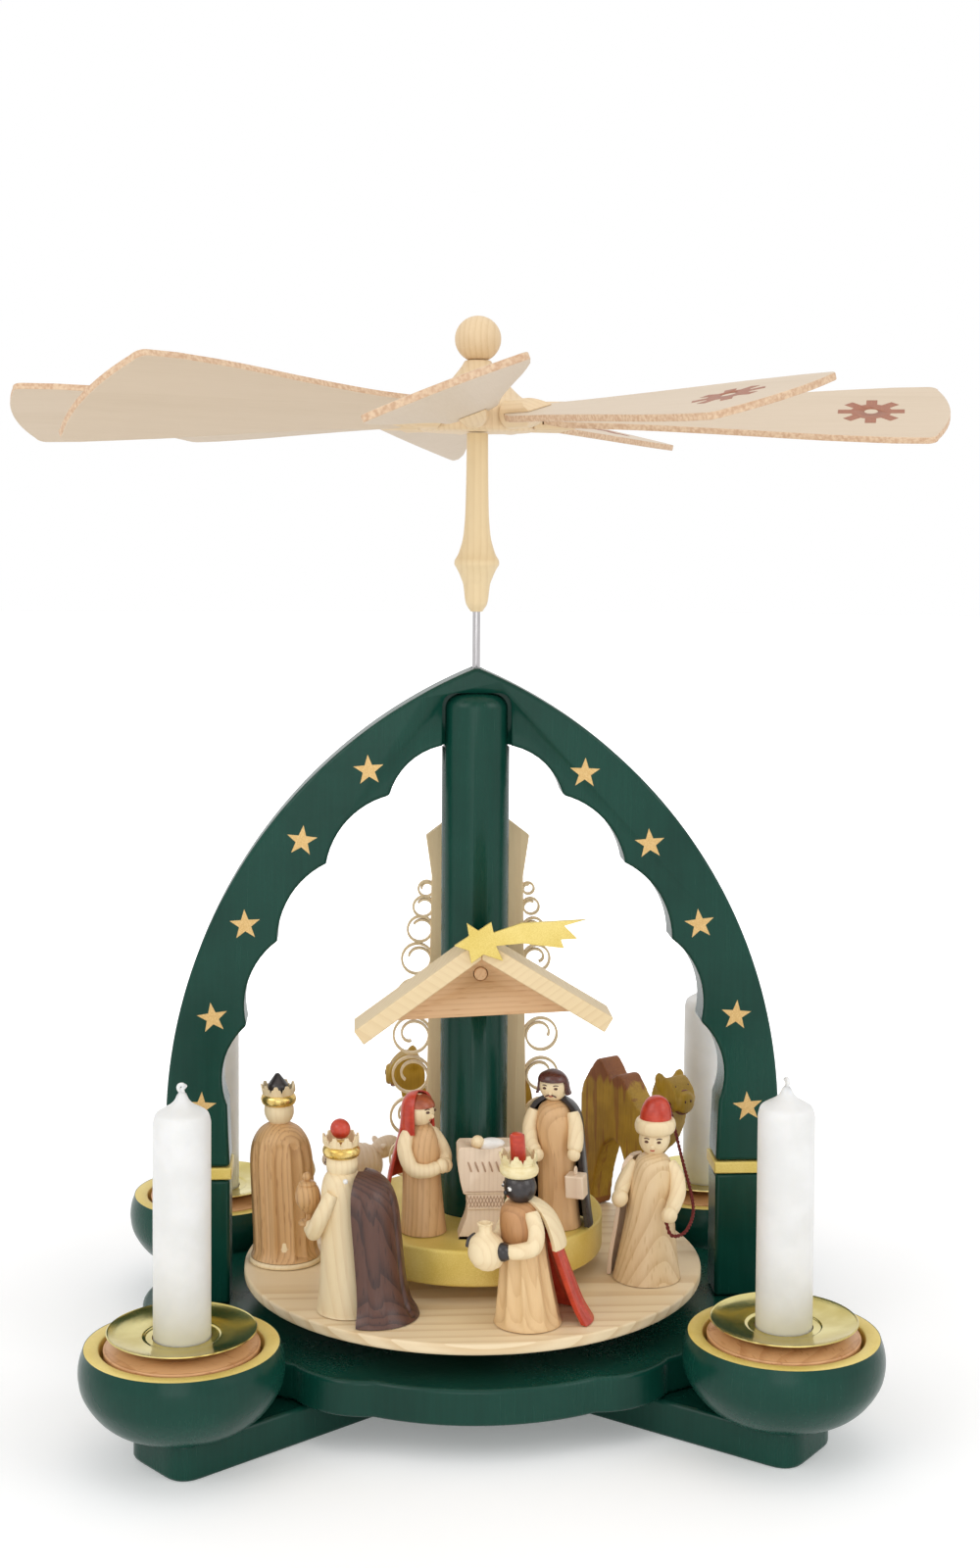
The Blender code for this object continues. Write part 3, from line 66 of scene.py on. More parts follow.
class Wire:
    """A socket in a material. Sums on it add Math nodes, and any other node comes from node()."""

    def __init__(self, tree, socket=None):
        self.tree = tree
        self.socket = socket

    def node(self, kind, settings=None, sockets=None, out=0):
        """Adds a node with its settings and the value or link of each socket, and gives an output."""
        made = self.tree.nodes.new(kind)
        for name, value in (settings or {}).items():
            setattr(made, name, value)
        for name, value in (sockets or {}).items():
            if isinstance(value, Wire):
                self.tree.links.new(value.socket, made.inputs[name])
            else:
                made.inputs[name].default_value = value
        return Wire(self.tree, made.outputs[out])

    def math(self, operation, first, second=0.0):
        """A Math node over the first value and the second, not over this wire."""
        return self.node("ShaderNodeMath", {"operation": operation}, {0: first, 1: second})

    def __add__(self, other):
        return self.math("ADD", self, other)

    __radd__ = __add__

    def __sub__(self, other):
        return self.math("SUBTRACT", self, other)

    def __rsub__(self, other):
        return self.math("SUBTRACT", other, self)

    def __mul__(self, other):
        return self.math("MULTIPLY", self, other)

    __rmul__ = __mul__

    def __truediv__(self, other):
        return self.math("DIVIDE", self, other)

    def stretched(self, factors):
        """A vector with each axis made larger by its own factor."""
        return self.node("ShaderNodeVectorMath", {"operation": "MULTIPLY"}, {0: self, 1: factors})

    def noise(self, scale, detail=2.0, roughness=0.5):
        """A cloud of that many lumps a metre over this vector, between 0 and 1."""
        return self.node(
            "ShaderNodeTexNoise", None,
            {"Vector": self, "Scale": scale, "Detail": detail, "Roughness": roughness}
        )

    def between(self, low, high):
        """0 below low, 1 above high, and smooth in between."""
        return self.node(
            "ShaderNodeMapRange", {"interpolation_type": "SMOOTHSTEP"},
            {"Value": self, "From Min": low, "From Max": high},
        )

    def mixed(self, first, second):
        """The first colour where this is 0, the second where it is 1."""
        return self.node("ShaderNodeMix", {"data_type": "RGBA"}, {0: self, 6: first, 7: second}, out=2)


def colour(red, green, blue):
    """A screen colour of 0 to 255 as the linear colour that a shader takes."""
    shares = [part / 255 for part in (red, green, blue)]
    return (*[s / 12.92 if s <= 0.04045 else ((s + 0.055) / 1.055) ** 2.4 for s in shares], 1.0)


def new_finish(name, roughness, metallic=0.0, coat=0.0, coat_roughness=0.1):
    """A material, its shader, and a wire that holds the piece's own coordinates."""
    finish = bpy.data.materials.new(name)
    finish.use_nodes = True
    shader = finish.node_tree.nodes["Principled BSDF"]
    shader.inputs["Roughness"].default_value = roughness
    shader.inputs["Metallic"].default_value = metallic
    shader.inputs["Coat Weight"].default_value = coat
    shader.inputs["Coat Roughness"].default_value = coat_roughness
    return finish, shader, Wire(finish.node_tree).node("ShaderNodeTexCoord", out="Object")


def feed(shader, **links):
    """Links wires into the shader's sockets, named with _ for a space."""
    for name, wire in links.items():
        wire.tree.links.new(wire.socket, shader.inputs[name.replace("_", " ")])


def bumped(height, distance):
    """A Bump node over a height."""
    return height.node("ShaderNodeBump", None, {"Height": height, "Distance": distance, "Strength": 1.0})


bpy.ops.object.select_all(action="DESELECT")
bpy.ops.mesh.primitive_circle_add(vertices=96, radius=TABLE_SIZE, fill_type="NGON")
studio_table = bpy.context.object
studio_table.name = "studio_table"
table_finish, table_shader, table_place = new_finish("studio_table", 0.9)
table_shader.inputs["Base Color"].default_value = TABLE_GREY
from_middle = table_place.node(
    "ShaderNodeVectorMath", {"operation": "LENGTH"}, {0: table_place}, out="Value",
)
seen = table_place.node("ShaderNodeLightPath", out="Is Camera Ray")
far = seen * from_middle.between(TABLE_LIT_RADIUS * 0.3, TABLE_LIT_RADIUS)
feed(table_shader, Emission_Color=far.mixed(NEAR_GLOW, WHITE))
table_shader.inputs["Emission Strength"].default_value = 1.0
studio_table.data.materials.append(table_finish)

world = bpy.data.worlds.new("studio")
bpy.context.scene.world = world
world.use_nodes = True
ground = world.node_tree.nodes["Background"]
ground.inputs["Color"].default_value = WHITE
rays = Wire(world.node_tree)
camera_ray = rays.node("ShaderNodeLightPath", out="Is Camera Ray")
glossy_ray = rays.node("ShaderNodeLightPath", out="Is Glossy Ray")
clear_ray = rays.node("ShaderNodeLightPath", out="Is Transmission Ray")
shown = rays.math("MAXIMUM", rays.math("MAXIMUM", camera_ray, glossy_ray), clear_ray)
feed(ground, Strength=shown * (1.0 - AMBIENT) + AMBIENT)

for lamp_name, (lamp_place, lamp_size, lamp_power) in LAMPS.items():
    lamp_data = bpy.data.lights.new(lamp_name, "AREA")
    lamp_data.size = lamp_size
    lamp_data.energy = lamp_power
    lamp = bpy.data.objects.new(lamp_name, lamp_data)
    bpy.context.scene.collection.objects.link(lamp)
    lamp.location = lamp_place
    lamp.rotation_mode = "QUATERNION"
    lamp.rotation_quaternion = (Vector(LAMP_AIM) - Vector(lamp_place)).to_track_quat("-Z", "Y")

camera_data = bpy.data.cameras.new("camera")
camera_data.lens = LENS
camera_data.shift_y = FRAME_SHIFT
camera_data.clip_start = 0.01
camera = bpy.data.objects.new("camera", camera_data)
bpy.context.scene.collection.objects.link(camera)
right = Vector(CAMERA_RIGHT).normalized()
ahead = Vector(CAMERA_AHEAD).normalized()
aim = Matrix((right, right.cross(ahead), -ahead)).transposed().to_4x4()
camera.matrix_world = Matrix.Translation(CAMERA_PLACE) @ aim
bpy.context.scene.camera = camera
bpy.context.scene.view_settings.view_transform = "Standard"

# The feet: two crossed bars of solid wood, halved into each other in the middle. They are sprayed with a
# silky green lacquer, which fills the grain and rounds every edge. The bowls stand on their ends.
BAR_TURN = math.atan2(0.0712, 0.0894)
BAR_LENGTH = 0.250
BAR_WIDTH = 0.029
BAR_HEIGHT = 0.011
BAR_CORNER = 0.008
LACQUER_EDGE = 0.0011
JOINT_GAP = 0.0003
GREEN_DEEP = colour(8, 53, 43)
GREEN_LIGHT = colour(14, 67, 55)


def picked(piece, *more):
    """Selects these pieces and no others, with the first as the active one."""
    bpy.ops.object.select_all(action="DESELECT")
    for each in (piece, *more):
        each.select_set(True)
    bpy.context.view_layer.objects.active = piece


def draw(name, points):
    """Starts a piece in edit mode as one vertex, and extrudes it from point to point."""
    bpy.ops.object.select_all(action="DESELECT")
    bpy.ops.mesh.primitive_plane_add(size=JOINT_GAP)
    piece = bpy.context.object
    piece.name = name
    bpy.ops.object.mode_set(mode="EDIT")
    bpy.ops.mesh.merge(type="CENTER")
    bpy.ops.transform.translate(value=points[0])
    for start, end in zip(points, points[1:]):
        bpy.ops.mesh.extrude_region_move(TRANSFORM_OT_translate={"value": Vector(end) - Vector(start)})
    bpy.ops.mesh.select_all(action="SELECT")
    return piece


def closed_up(piece, crease=40.0):
    """Leaves edit mode with seams merged and faces outward. Only edges past the crease angle stay sharp."""
    bpy.ops.mesh.select_all(action="SELECT")
    bpy.ops.mesh.remove_doubles(threshold=1e-6)
    bpy.ops.mesh.normals_make_consistent(inside=False)
    bpy.ops.object.mode_set(mode="OBJECT")
    bpy.ops.object.shade_smooth_by_angle(angle=math.radians(crease))
    return piece


def fitted(piece, kind, **settings):
    """Adds a modifier to the piece and applies it."""
    step = piece.modifiers.new(kind, kind)
    for name, value in settings.items():
        setattr(step, name, value)
    picked(piece)
    bpy.ops.object.modifier_apply(modifier=step.name)
    return piece


def rounded(piece, edge, segments, past, crease):
    """Rounds every edge whose faces meet at more than the angle past, and smooths up to the crease angle."""
    fitted(
        piece, "BEVEL", width=edge, segments=segments, limit_method="ANGLE", angle_limit=math.radians(past),
    )
    bpy.ops.object.shade_smooth_by_angle(angle=math.radians(crease))


def cut(piece, *tools):
    """Cuts the tools out of the piece and clears them away."""
    for tool in tools:
        fitted(piece, "BOOLEAN", object=tool, operation="DIFFERENCE", solver="EXACT")
        bpy.data.objects.remove(tool)
    return piece


def sawn(name, outline, through, edge, segments=3, crease=40.0):
    """A board sawn from an outline of points, drawn through its thickness, with its edges rounded."""
    piece = draw(name, outline)
    bpy.ops.mesh.edge_face_add()
    bpy.ops.mesh.extrude_region_move(TRANSFORM_OT_translate={"value": through})
    closed_up(piece, crease)
    if edge:
        rounded(piece, edge, segments, 50.0, crease)
    return piece


def eased(corners, steps=4):
    """Corners (x, y, ease) joined by straight runs, each corner rounded off over its ease."""
    points = []
    for number, (x, y, ease) in enumerate(corners):
        before = Vector(corners[number - 1][:2])
        after = Vector(corners[(number + 1) % len(corners)][:2])
        corner = Vector((x, y))
        if not ease:
            points.append(tuple(corner))
            continue
        start = corner + (before - corner).normalized() * ease
        end = corner + (after - corner).normalized() * ease
        for step in range(steps + 1):
            t = step / steps
            points.append(tuple(start * (1 - t) ** 2 + corner * 2 * t * (1 - t) + end * t**2))
    return points


def put(piece, turn=0.0, axis="Z", at=(0.0, 0.0, 0.0)):
    """Turns the piece about the origin and moves it, with its place written into its mesh."""
    piece.data.transform(Matrix.Translation(at) @ Matrix.Rotation(turn, 4, axis))
    return piece


def dressed(piece, finish, body, slot, *replaced):
    """Gives the piece its finish, and lets it ride on a body in place of its CAD nodes."""
    piece.data.materials.clear()
    piece.data.materials.append(finish)
    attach(piece, body)
    if replaced:
        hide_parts(*replaced)
    return piece


green_lacquer, lacquer_shader, place = new_finish("green_lacquer", 0.26)
lacquer_shader.inputs["Specular IOR Level"].default_value = 0.24
cloud = place.noise(28.0, 3.0)
fibre = place.stretched((1.0, 1.0, 0.05)).noise(900.0, 2.0)
peel = place.noise(420.0, 1.0)
feed(
    lacquer_shader,
    Base_Color=(cloud * 0.8 + fibre * 0.2).between(0.25, 0.75).mixed(GREEN_DEEP, GREEN_LIGHT),
    Roughness=cloud * 0.10 + fibre * 0.06 + 0.18,
    Normal=bumped(peel * 0.75 + fibre * 0.25, 0.00006),
)

half_lap = BAR_HEIGHT / 2
for bar_name, sign in (("foot_bar_lower", 1), ("foot_bar_upper", -1)):
    half_length, half_width = BAR_LENGTH / 2, BAR_WIDTH / 2
    outline = eased([
        (half_length, half_width, BAR_CORNER), (-half_length, half_width, BAR_CORNER),
        (-half_length, -half_width, BAR_CORNER), (half_length, -half_width, BAR_CORNER),
    ], 6)
    bar = sawn(f"{bar_name}_wood", [(x, y, 0.0) for x, y in outline], (0.0, 0.0, BAR_HEIGHT), LACQUER_EDGE)
    put(bar, sign * BAR_TURN)
    bpy.ops.object.select_all(action="DESELECT")
    low = half_lap - JOINT_GAP / 2 if sign > 0 else -half_lap
    high = half_lap * 3 if sign > 0 else half_lap + JOINT_GAP / 2
    bpy.ops.mesh.primitive_cube_add(size=1.0, location=(0.0, 0.0, (low + high) / 2))
    lap = bpy.context.object
    lap.data.transform(Matrix.Diagonal((BAR_WIDTH * 4, BAR_WIDTH + 2 * JOINT_GAP, high - low, 1.0)))
    lap.rotation_euler.z = -sign * BAR_TURN
    dressed(cut(bar, lap), green_lacquer, "stand", "green_lacquer", bar_name)

# The base plate: a thick oval board, sawn to scallops all round and lacquered like the feet, glued on top
# of them. A small brass cup is let into its middle, in which the shaft's point runs.
BASE_HALF_LENGTH = 0.108
BASE_HALF_DEPTH = 0.079
BASE_BOTTOM = BAR_HEIGHT + JOINT_GAP
BASE_TOP = BASE_BOTTOM + 0.011
BASE_CUSPS = ((0.306, 0.900), (0.528, 0.728), (0.880, 0.380))
BASE_RISES = (0.050, 0.020)
CUP_RADIUS = 0.005
CUP_TOP = BASE_TOP + 0.0014
CUP_DEPTH = 0.007
CUP_BORE_DEPTH = 0.005
CUP_EDGE = 0.0004
SHAFT_RADIUS = 0.0013
BRASS_PALE = colour(226, 214, 150)
BRASS_DEEP = colour(196, 178, 104)


def bow(start, end, rise, steps):
    """Points from start up to, but not with, end on an arc that rises to the right of the way."""
    start, end = Vector(start), Vector(end)
    half = (end - start).length / 2
    radius = (half * half + rise * rise) / (2 * rise)
    along = (end - start).normalized()
    out = Vector((along.y, -along.x))
    middle = (start + end) / 2 - out * (radius - rise)
    sweep = math.asin(min(1.0, half / radius))
    angles = [sweep * (2 * step / steps - 1) for step in range(steps)]
    return [tuple(middle + along * radius * math.sin(a) + out * radius * math.cos(a)) for a in angles]


def turned(name, profile, steps=64, crease=40.0):
    """A profile of (radius, height) points, turned about the upright axis through the origin."""
    piece = draw(name, [(radius, 0.0, height) for radius, height in profile])
    bpy.ops.mesh.spin(steps=steps, angle=TURN, center=(0.0, 0.0, 0.0), axis=(0.0, 0.0, 1.0))
    return closed_up(piece, crease)


def drill(radius, low, high, steps=24):
    """A round cutter on the upright axis, from one height to another."""
    return turned("drill", [(0.0, low), (radius, low), (radius, high), (0.0, high)], steps)


cusps = [(x * BASE_HALF_LENGTH, -y * BASE_HALF_DEPTH) for x, y in BASE_CUSPS]
right_side = []
for start, end, rise in zip(cusps, cusps[1:], BASE_RISES):
    right_side += bow(start, end, BASE_HALF_DEPTH * rise, 10)
end_lobe = bow(cusps[-1], (cusps[-1][0], -cusps[-1][1]), BASE_HALF_LENGTH - cusps[-1][0], 24)
front_lobe = bow((-cusps[0][0], cusps[0][1]), cusps[0], BASE_HALF_DEPTH + cusps[0][1], 18)
back_right = [(x, -y) for x, y in reversed(right_side + [cusps[-1]])]
half = front_lobe + right_side + end_lobe + back_right[:-1]
outline = [(x, y, BASE_BOTTOM) for x, y in half + [(-x, -y) for x, y in half]]
base = sawn("base_wood", outline, (0.0, 0.0, BASE_TOP - BASE_BOTTOM), LACQUER_EDGE)
dressed(base, green_lacquer, "stand", "green_lacquer", "base_plate")

brass, brass_shader, place = new_finish("brass_sheet", 0.2, 1.0)
cloud = place.noise(60.0, 3.0)
spun = place.stretched((1.0, 1.0, 4.0)).noise(700.0, 2.0)
feed(
    brass_shader,
    Base_Color=cloud.between(0.3, 0.7).mixed(BRASS_DEEP, BRASS_PALE),
    Roughness=cloud * 0.12 + spun * 0.06 + 0.08,
    Normal=bumped(cloud * 0.8 + spun * 0.2, 0.00005),
)
cup = turned("cup_brass", [
    (0.0, CUP_TOP - CUP_DEPTH), (CUP_RADIUS, CUP_TOP - CUP_DEPTH), (CUP_RADIUS, CUP_TOP - CUP_EDGE),
    (CUP_RADIUS - CUP_EDGE, CUP_TOP), (SHAFT_RADIUS * 1.7, CUP_TOP),
    (SHAFT_RADIUS * 1.35, CUP_TOP - 0.0008),
    (SHAFT_RADIUS * 1.35, CUP_TOP - CUP_BORE_DEPTH), (0.0, CUP_TOP - CUP_BORE_DEPTH),
], 32)
dressed(cup, brass, "stand", "brass", "bearing_cup")

# The arch's legs: two upright blocks glued on the base plate, lacquered, each with a band of gold paint on
# a thin strip that stands a little proud between the leg and the arch.
ARCH_HALF_WIDTH = 0.100
ARCH_DEPTH = 0.015
LEG_WIDTH = 0.0206
BAND_EDGE = 0.0005
BAND_TOP = 0.0675
BAND_BOTTOM = BAND_TOP - 0.0038
BAND_PROUD = 0.0006
GOLD_PALE = colour(238, 216, 132)
GOLD_DEEP = colour(214, 186, 84)

gold_paint, gold_shader, place = new_finish("gold_paint", 0.42, 0.22)
cloud = place.noise(45.0, 4.0)
flake = place.noise(3800.0, 1.0)
feed(
    gold_shader,
    Base_Color=(cloud * 0.6 + flake * 0.4).between(0.3, 0.7).mixed(GOLD_DEEP, GOLD_PALE),
    Roughness=flake * 0.25 + 0.3,
    Normal=bumped(place.noise(700.0, 3.0) + flake * 0.3, 0.00005),
)


def block(name, low, high, edge):
    """A planed block between two corners, with rounded edges."""
    outline = [
        (x, y, low[2])
        for x, y in ((low[0], low[1]), (high[0], low[1]), (high[0], high[1]), (low[0], high[1]))
    ]
    return sawn(name, outline, (0.0, 0.0, high[2] - low[2]), edge)


for side, sign in (("left", -1), ("right", 1)):
    middle = sign * (ARCH_HALF_WIDTH - LEG_WIDTH / 2)
    low = (middle - LEG_WIDTH / 2, -ARCH_DEPTH / 2, BASE_TOP + JOINT_GAP)
    high = (middle + LEG_WIDTH / 2, ARCH_DEPTH / 2, BAND_BOTTOM - JOINT_GAP)
    leg = block(f"leg_wood_{side}", low, high, LACQUER_EDGE)
    dressed(leg, green_lacquer, "stand", "green_lacquer", f"leg_{side}")
    low = (low[0] - BAND_PROUD, low[1] - BAND_PROUD, BAND_BOTTOM)
    high = (high[0] + BAND_PROUD, high[1] + BAND_PROUD, BAND_TOP)
    band = block(f"band_wood_{side}", low, high, BAND_EDGE)
    dressed(band, gold_paint, "stand", "gold_paint", f"band_{side}")

# The arch: one board sawn to a pointed arch, scalloped inside, and lacquered. Ten gold stars are printed on
# its face. Both faces are hollowed at the crown, where the column laps over it, and a bore lets the shaft
# through.
ARCH_BOTTOM = BAND_TOP + JOINT_GAP
ARCH_SPRING = 0.081
ARCH_APEX = 0.230
APEX_FLAT = 0.0008
SCALLOP_CUSPS = (
    (0.000, 0.840), (0.282, 0.744), (0.485, 0.608), (0.642, 0.453), (0.740, 0.284), (0.802, 0.123),
)
SCALLOP_RISES = (0.215, 0.149, 0.143, 0.152, 0.162)
WEB_THICKNESS = 0.008
COLUMN_RADIUS = 0.011
COLUMN_ROUNDING = 0.005
COLUMN_TOP = ARCH_APEX - 0.0085
SHAFT_BORE = 0.0017
STAR_REACH = 0.0051
STAR_WAIST_SHARE = 0.40
STARS = (
    (-0.0349, 0.1968, 4.0), (-0.0563, 0.1740, -6.0), (-0.0745, 0.1468, 3.0), (-0.0849, 0.1166, 8.0),
    (-0.0886, 0.0875, -3.0), (0.0351, 0.1958, -2.0), (0.0565, 0.1727, 4.0), (0.0731, 0.1463, 7.0),
    (0.0855, 0.1161, -4.0), (0.0897, 0.0858, 5.0),
)
STAR_TAN = colour(206, 168, 104)
STAR_PALE = colour(222, 188, 128)
STAR_PRINT = 0.00006
CHANNEL_DROP = 0.004

rise = ARCH_APEX - ARCH_SPRING
sweep_radius = (ARCH_HALF_WIDTH**2 + rise**2) / (2 * ARCH_HALF_WIDTH)
sweep_middle = ARCH_HALF_WIDTH - sweep_radius
last = math.acos((APEX_FLAT - sweep_middle) / sweep_radius)
outside = [
    (sweep_middle + sweep_radius * math.cos(angle), ARCH_SPRING + sweep_radius * math.sin(angle))
    for angle in (last * step / 48 for step in range(49))
]
height = ARCH_APEX - ARCH_BOTTOM
cusps = [(x * ARCH_HALF_WIDTH, ARCH_BOTTOM + z * height) for x, z in SCALLOP_CUSPS]
crown = cusps[0][1]
inside = []
for start, end, share in zip(cusps, cusps[1:], SCALLOP_RISES):
    inside += [start] + bow(end, start, math.dist(start, end) * share, 12)[:0:-1]
inside.append(cusps[-1])
foot = ARCH_HALF_WIDTH - LEG_WIDTH
right_half = [(foot, ARCH_BOTTOM), (ARCH_HALF_WIDTH, ARCH_BOTTOM)] + outside
outline = right_half + [
    (-x, z)
    for x, z in reversed(right_half)
] + [(-x, z) for x, z in reversed(inside)] + inside[1:]
arch = sawn(
    "arch_wood", [(x, -ARCH_DEPTH / 2, z) for x, z in outline], (0.0, ARCH_DEPTH, 0.0), LACQUER_EDGE,
    crease=30.0
)
channel_half = COLUMN_RADIUS + JOINT_GAP
channel = eased([
    (-channel_half, crown - CHANNEL_DROP, 0.0), (channel_half, crown - CHANNEL_DROP, 0.0),
    (channel_half, COLUMN_TOP + JOINT_GAP, COLUMN_ROUNDING),
    (-channel_half, COLUMN_TOP + JOINT_GAP, COLUMN_ROUNDING),
], 8)
for front in (-ARCH_DEPTH, WEB_THICKNESS / 2):
    hollow = sawn(
        "hollow", [(x, front, z) for x, z in channel], (0.0, ARCH_DEPTH - WEB_THICKNESS / 2, 0.0), 0.0,
    )
    cut(arch, hollow)
cut(arch, drill(SHAFT_BORE, crown - 0.01, ARCH_APEX + 0.01))
dressed(arch, green_lacquer, "stand", "green_lacquer", "arch")

star_gold, star_shader, place = new_finish("star_print", 0.38, 0.3)
print_grain = place.noise(2600.0, 2.0)
feed(
    star_shader,
    Base_Color=print_grain.between(0.35, 0.7).mixed(STAR_TAN, STAR_PALE),
    Roughness=print_grain * 0.2 + 0.3,
    Normal=bumped(print_grain, 0.00003),
)
for number, (star_x, star_z, tilt) in enumerate(STARS):
    points = []
    for corner in range(10):
        reach = STAR_REACH * (1.0 if corner % 2 == 0 else STAR_WAIST_SHARE)
        angle = TURN * (0.25 + corner / 10) + math.radians(tilt)
        points.append((reach * math.cos(angle), -ARCH_DEPTH / 2 - STAR_PRINT, reach * math.sin(angle)))
    star = sawn(f"star_{number}", points, (0.0, 2 * STAR_PRINT, 0.0), 0.0)
    dressed(put(star, at=(star_x, 0.0, star_z)), star_gold, "stand", "gold_paint")

# The column: a turned and lacquered dowel with a rounded top, slotted so that it laps over the arch's
# crown. It stands in a round seat in the podium, and the shaft runs up through its bore.
PODIUM_RADIUS = 0.0425
PODIUM_BOTTOM = 0.0345 + 0.0050
PODIUM_TOP = PODIUM_BOTTOM + 0.0116
PODIUM_EASE = 0.0012
COLUMN_SEAT = 0.004
HUT_X = 0.0010
HUT_BACK = -COLUMN_RADIUS - JOINT_GAP
ROOF_SLOPE = math.radians(33.5)
GABLE_HALF_WIDTH = 0.030
GABLE_FOOT = 0.119
GABLE_APEX = GABLE_FOOT + GABLE_HALF_WIDTH * math.tan(ROOF_SLOPE)
DOWEL_HEIGHT = GABLE_APEX - 0.0062
DOWEL_RADIUS = 0.0021
DOWEL_BITE = 0.004

column_foot = PODIUM_TOP - COLUMN_SEAT + JOINT_GAP
profile = [(SHAFT_BORE, column_foot), (COLUMN_RADIUS, column_foot)]
for angle in (TURN / 4 * step / 12 for step in range(13)):
    profile.append((
        COLUMN_RADIUS - COLUMN_ROUNDING * (1 - math.cos(angle)),
        COLUMN_TOP - COLUMN_ROUNDING * (1 - math.sin(angle)),
    ))
profile += [(SHAFT_BORE, COLUMN_TOP), (SHAFT_BORE, column_foot)]
column = turned("column_wood", profile, 72)
slot_deep = WEB_THICKNESS / 2 + JOINT_GAP
slot = block("slot", (-0.02, -slot_deep, crown - JOINT_GAP), (0.02, slot_deep, COLUMN_TOP + 0.01), 0.0)
hole = drill(DOWEL_RADIUS + JOINT_GAP, 0.0, 0.012)
put(hole, TURN / 4, "X", (HUT_X, HUT_BACK + DOWEL_BITE + 2 * JOINT_GAP, DOWEL_HEIGHT))
dressed(cut(column, slot, hole), green_lacquer, "stand", "green_lacquer", "column")

# The podium: a turned disc round the column's foot, painted all over in matt gold. It stands still just
# above the turntable and carries the holy family and the crib.
rim = eased([
    (SHAFT_BORE, PODIUM_BOTTOM, 0.0), (PODIUM_RADIUS, PODIUM_BOTTOM, PODIUM_EASE),
    (PODIUM_RADIUS, PODIUM_TOP, PODIUM_EASE),
    (COLUMN_RADIUS + JOINT_GAP, PODIUM_TOP, 0.0),
    (COLUMN_RADIUS + JOINT_GAP, PODIUM_TOP - COLUMN_SEAT, 0.0),
    (SHAFT_BORE, PODIUM_TOP - COLUMN_SEAT, 0.0),
])
podium = turned("podium_wood", rim + rim[:1], 96)
dressed(podium, gold_paint, "stand", "gold_paint", "podium")

# The hut: a beech gable board and two limewood roof boards mitred at the ridge, sanded and left bare. One
# dowel through the gable holds it to the column, and it hangs a touch askew on it.
ROOF_TILT = math.radians(2.5)
ROOF_THICKNESS = 0.0054
ROOF_LENGTH = 0.0455
ROOF_DEPTH = 0.0170
GABLE_THICKNESS = 0.0070
BARE_EDGE = 0.0004
LIME = (colour(231, 208, 165), colour(216, 188, 142))
BEECH = (colour(222, 182, 136), colour(198, 150, 104))


def timber(name, tones, ring=0.0014, ring_mark=0.55, fibre_mark=0.30, fleck=0.0, shine=0.46, warp=0.0022):
    """Bare wood, read from the grain attribute in metres: Z is up the trunk, the pith at X Y 0."""
    finish, shader, _ = new_finish(name, shine)
    grain = Wire(finish.node_tree).node("ShaderNodeAttribute", {"attribute_name": "grain"}, out="Vector")
    bend = grain.stretched((1.0, 1.0, 0.12)).noise(70.0, 2.0)
    across = grain.stretched((1.0, 1.0, 0.0))
    from_pith = across.node("ShaderNodeVectorMath", {"operation": "LENGTH"}, {0: across}, out="Value")
    rings = (from_pith + bend * warp) / ring
    year = rings.math("FRACT", rings)
    late = year.between(0.35, 0.97) - year.between(0.97, 1.0)
    fibre = grain.stretched((1.0, 1.0, 0.035)).noise(2600.0, 3.0, 0.6)
    streak = grain.stretched((1.0, 1.0, 0.05)).noise(420.0, 3.0)
    patch = grain.stretched((1.0, 1.0, 0.3)).noise(60.0, 2.0)
    tone = late * ring_mark + fibre * fibre_mark + streak * 0.35 + patch * 0.25 - 0.3
    if fleck:
        flecks = grain.stretched((1.0, 1.0, 0.14))
        dash = flecks.node("ShaderNodeTexVoronoi", {"feature": "F1"}, {"Vector": flecks, "Scale": 900.0})
        tone = tone + (1.0 - dash.between(0.12, 0.3)) * fleck
    feed(
        shader,
        Base_Color=tone.between(0.0, 1.0).mixed(*tones),
        Roughness=fibre * 0.18 + (shine - 0.09),
        Normal=bumped(fibre * 0.6 + late * 0.25 + streak * 0.15, 0.00007),
    )
    return finish


def grained(piece, along="Z", pith=(0.0, 0.0), shift=0.0):
    """Writes where each point of the piece lies in its trunk, before the piece is put in its place."""
    points = np.empty(len(piece.data.vertices) * 3, np.float32)
    piece.data.vertices.foreach_get("co", points)
    points = points.reshape(-1, 3)
    order = {"X": (1, 2, 0), "Y": (2, 0, 1), "Z": (0, 1, 2)}[along]
    points = points[:, order] + np.array((pith[0], pith[1], shift), np.float32)
    grain = piece.data.attributes.new("grain", "FLOAT_VECTOR", "POINT")
    grain.data.foreach_set("vector", points.ravel())
    return piece


limewood = timber("limewood", LIME, 0.0021, 0.30, 0.30)
beechwood = timber("beechwood", BEECH, 0.0017, 0.30, 0.30, 0.35)

hang = Matrix.Translation((HUT_X, HUT_BACK, DOWEL_HEIGHT)) @ Matrix.Rotation(-ROOF_TILT, 4, "Y")
apex = GABLE_APEX - DOWEL_HEIGHT
foot = GABLE_FOOT - DOWEL_HEIGHT
outline = [(-GABLE_HALF_WIDTH, foot), (GABLE_HALF_WIDTH, foot), (0.0, apex)]
gable = sawn(
    "gable_board", [(x, -GABLE_THICKNESS, z) for x, z in outline], (0.0, GABLE_THICKNESS, 0.0), BARE_EDGE,
)
cut(gable, put(drill(DOWEL_RADIUS + JOINT_GAP, -0.01, 0.01, 32), TURN / 4, "X"))
grained(gable, "X", (0.004, 0.030))
gable.data.transform(hang)
dressed(gable, beechwood, "stand", "beech", "gable")

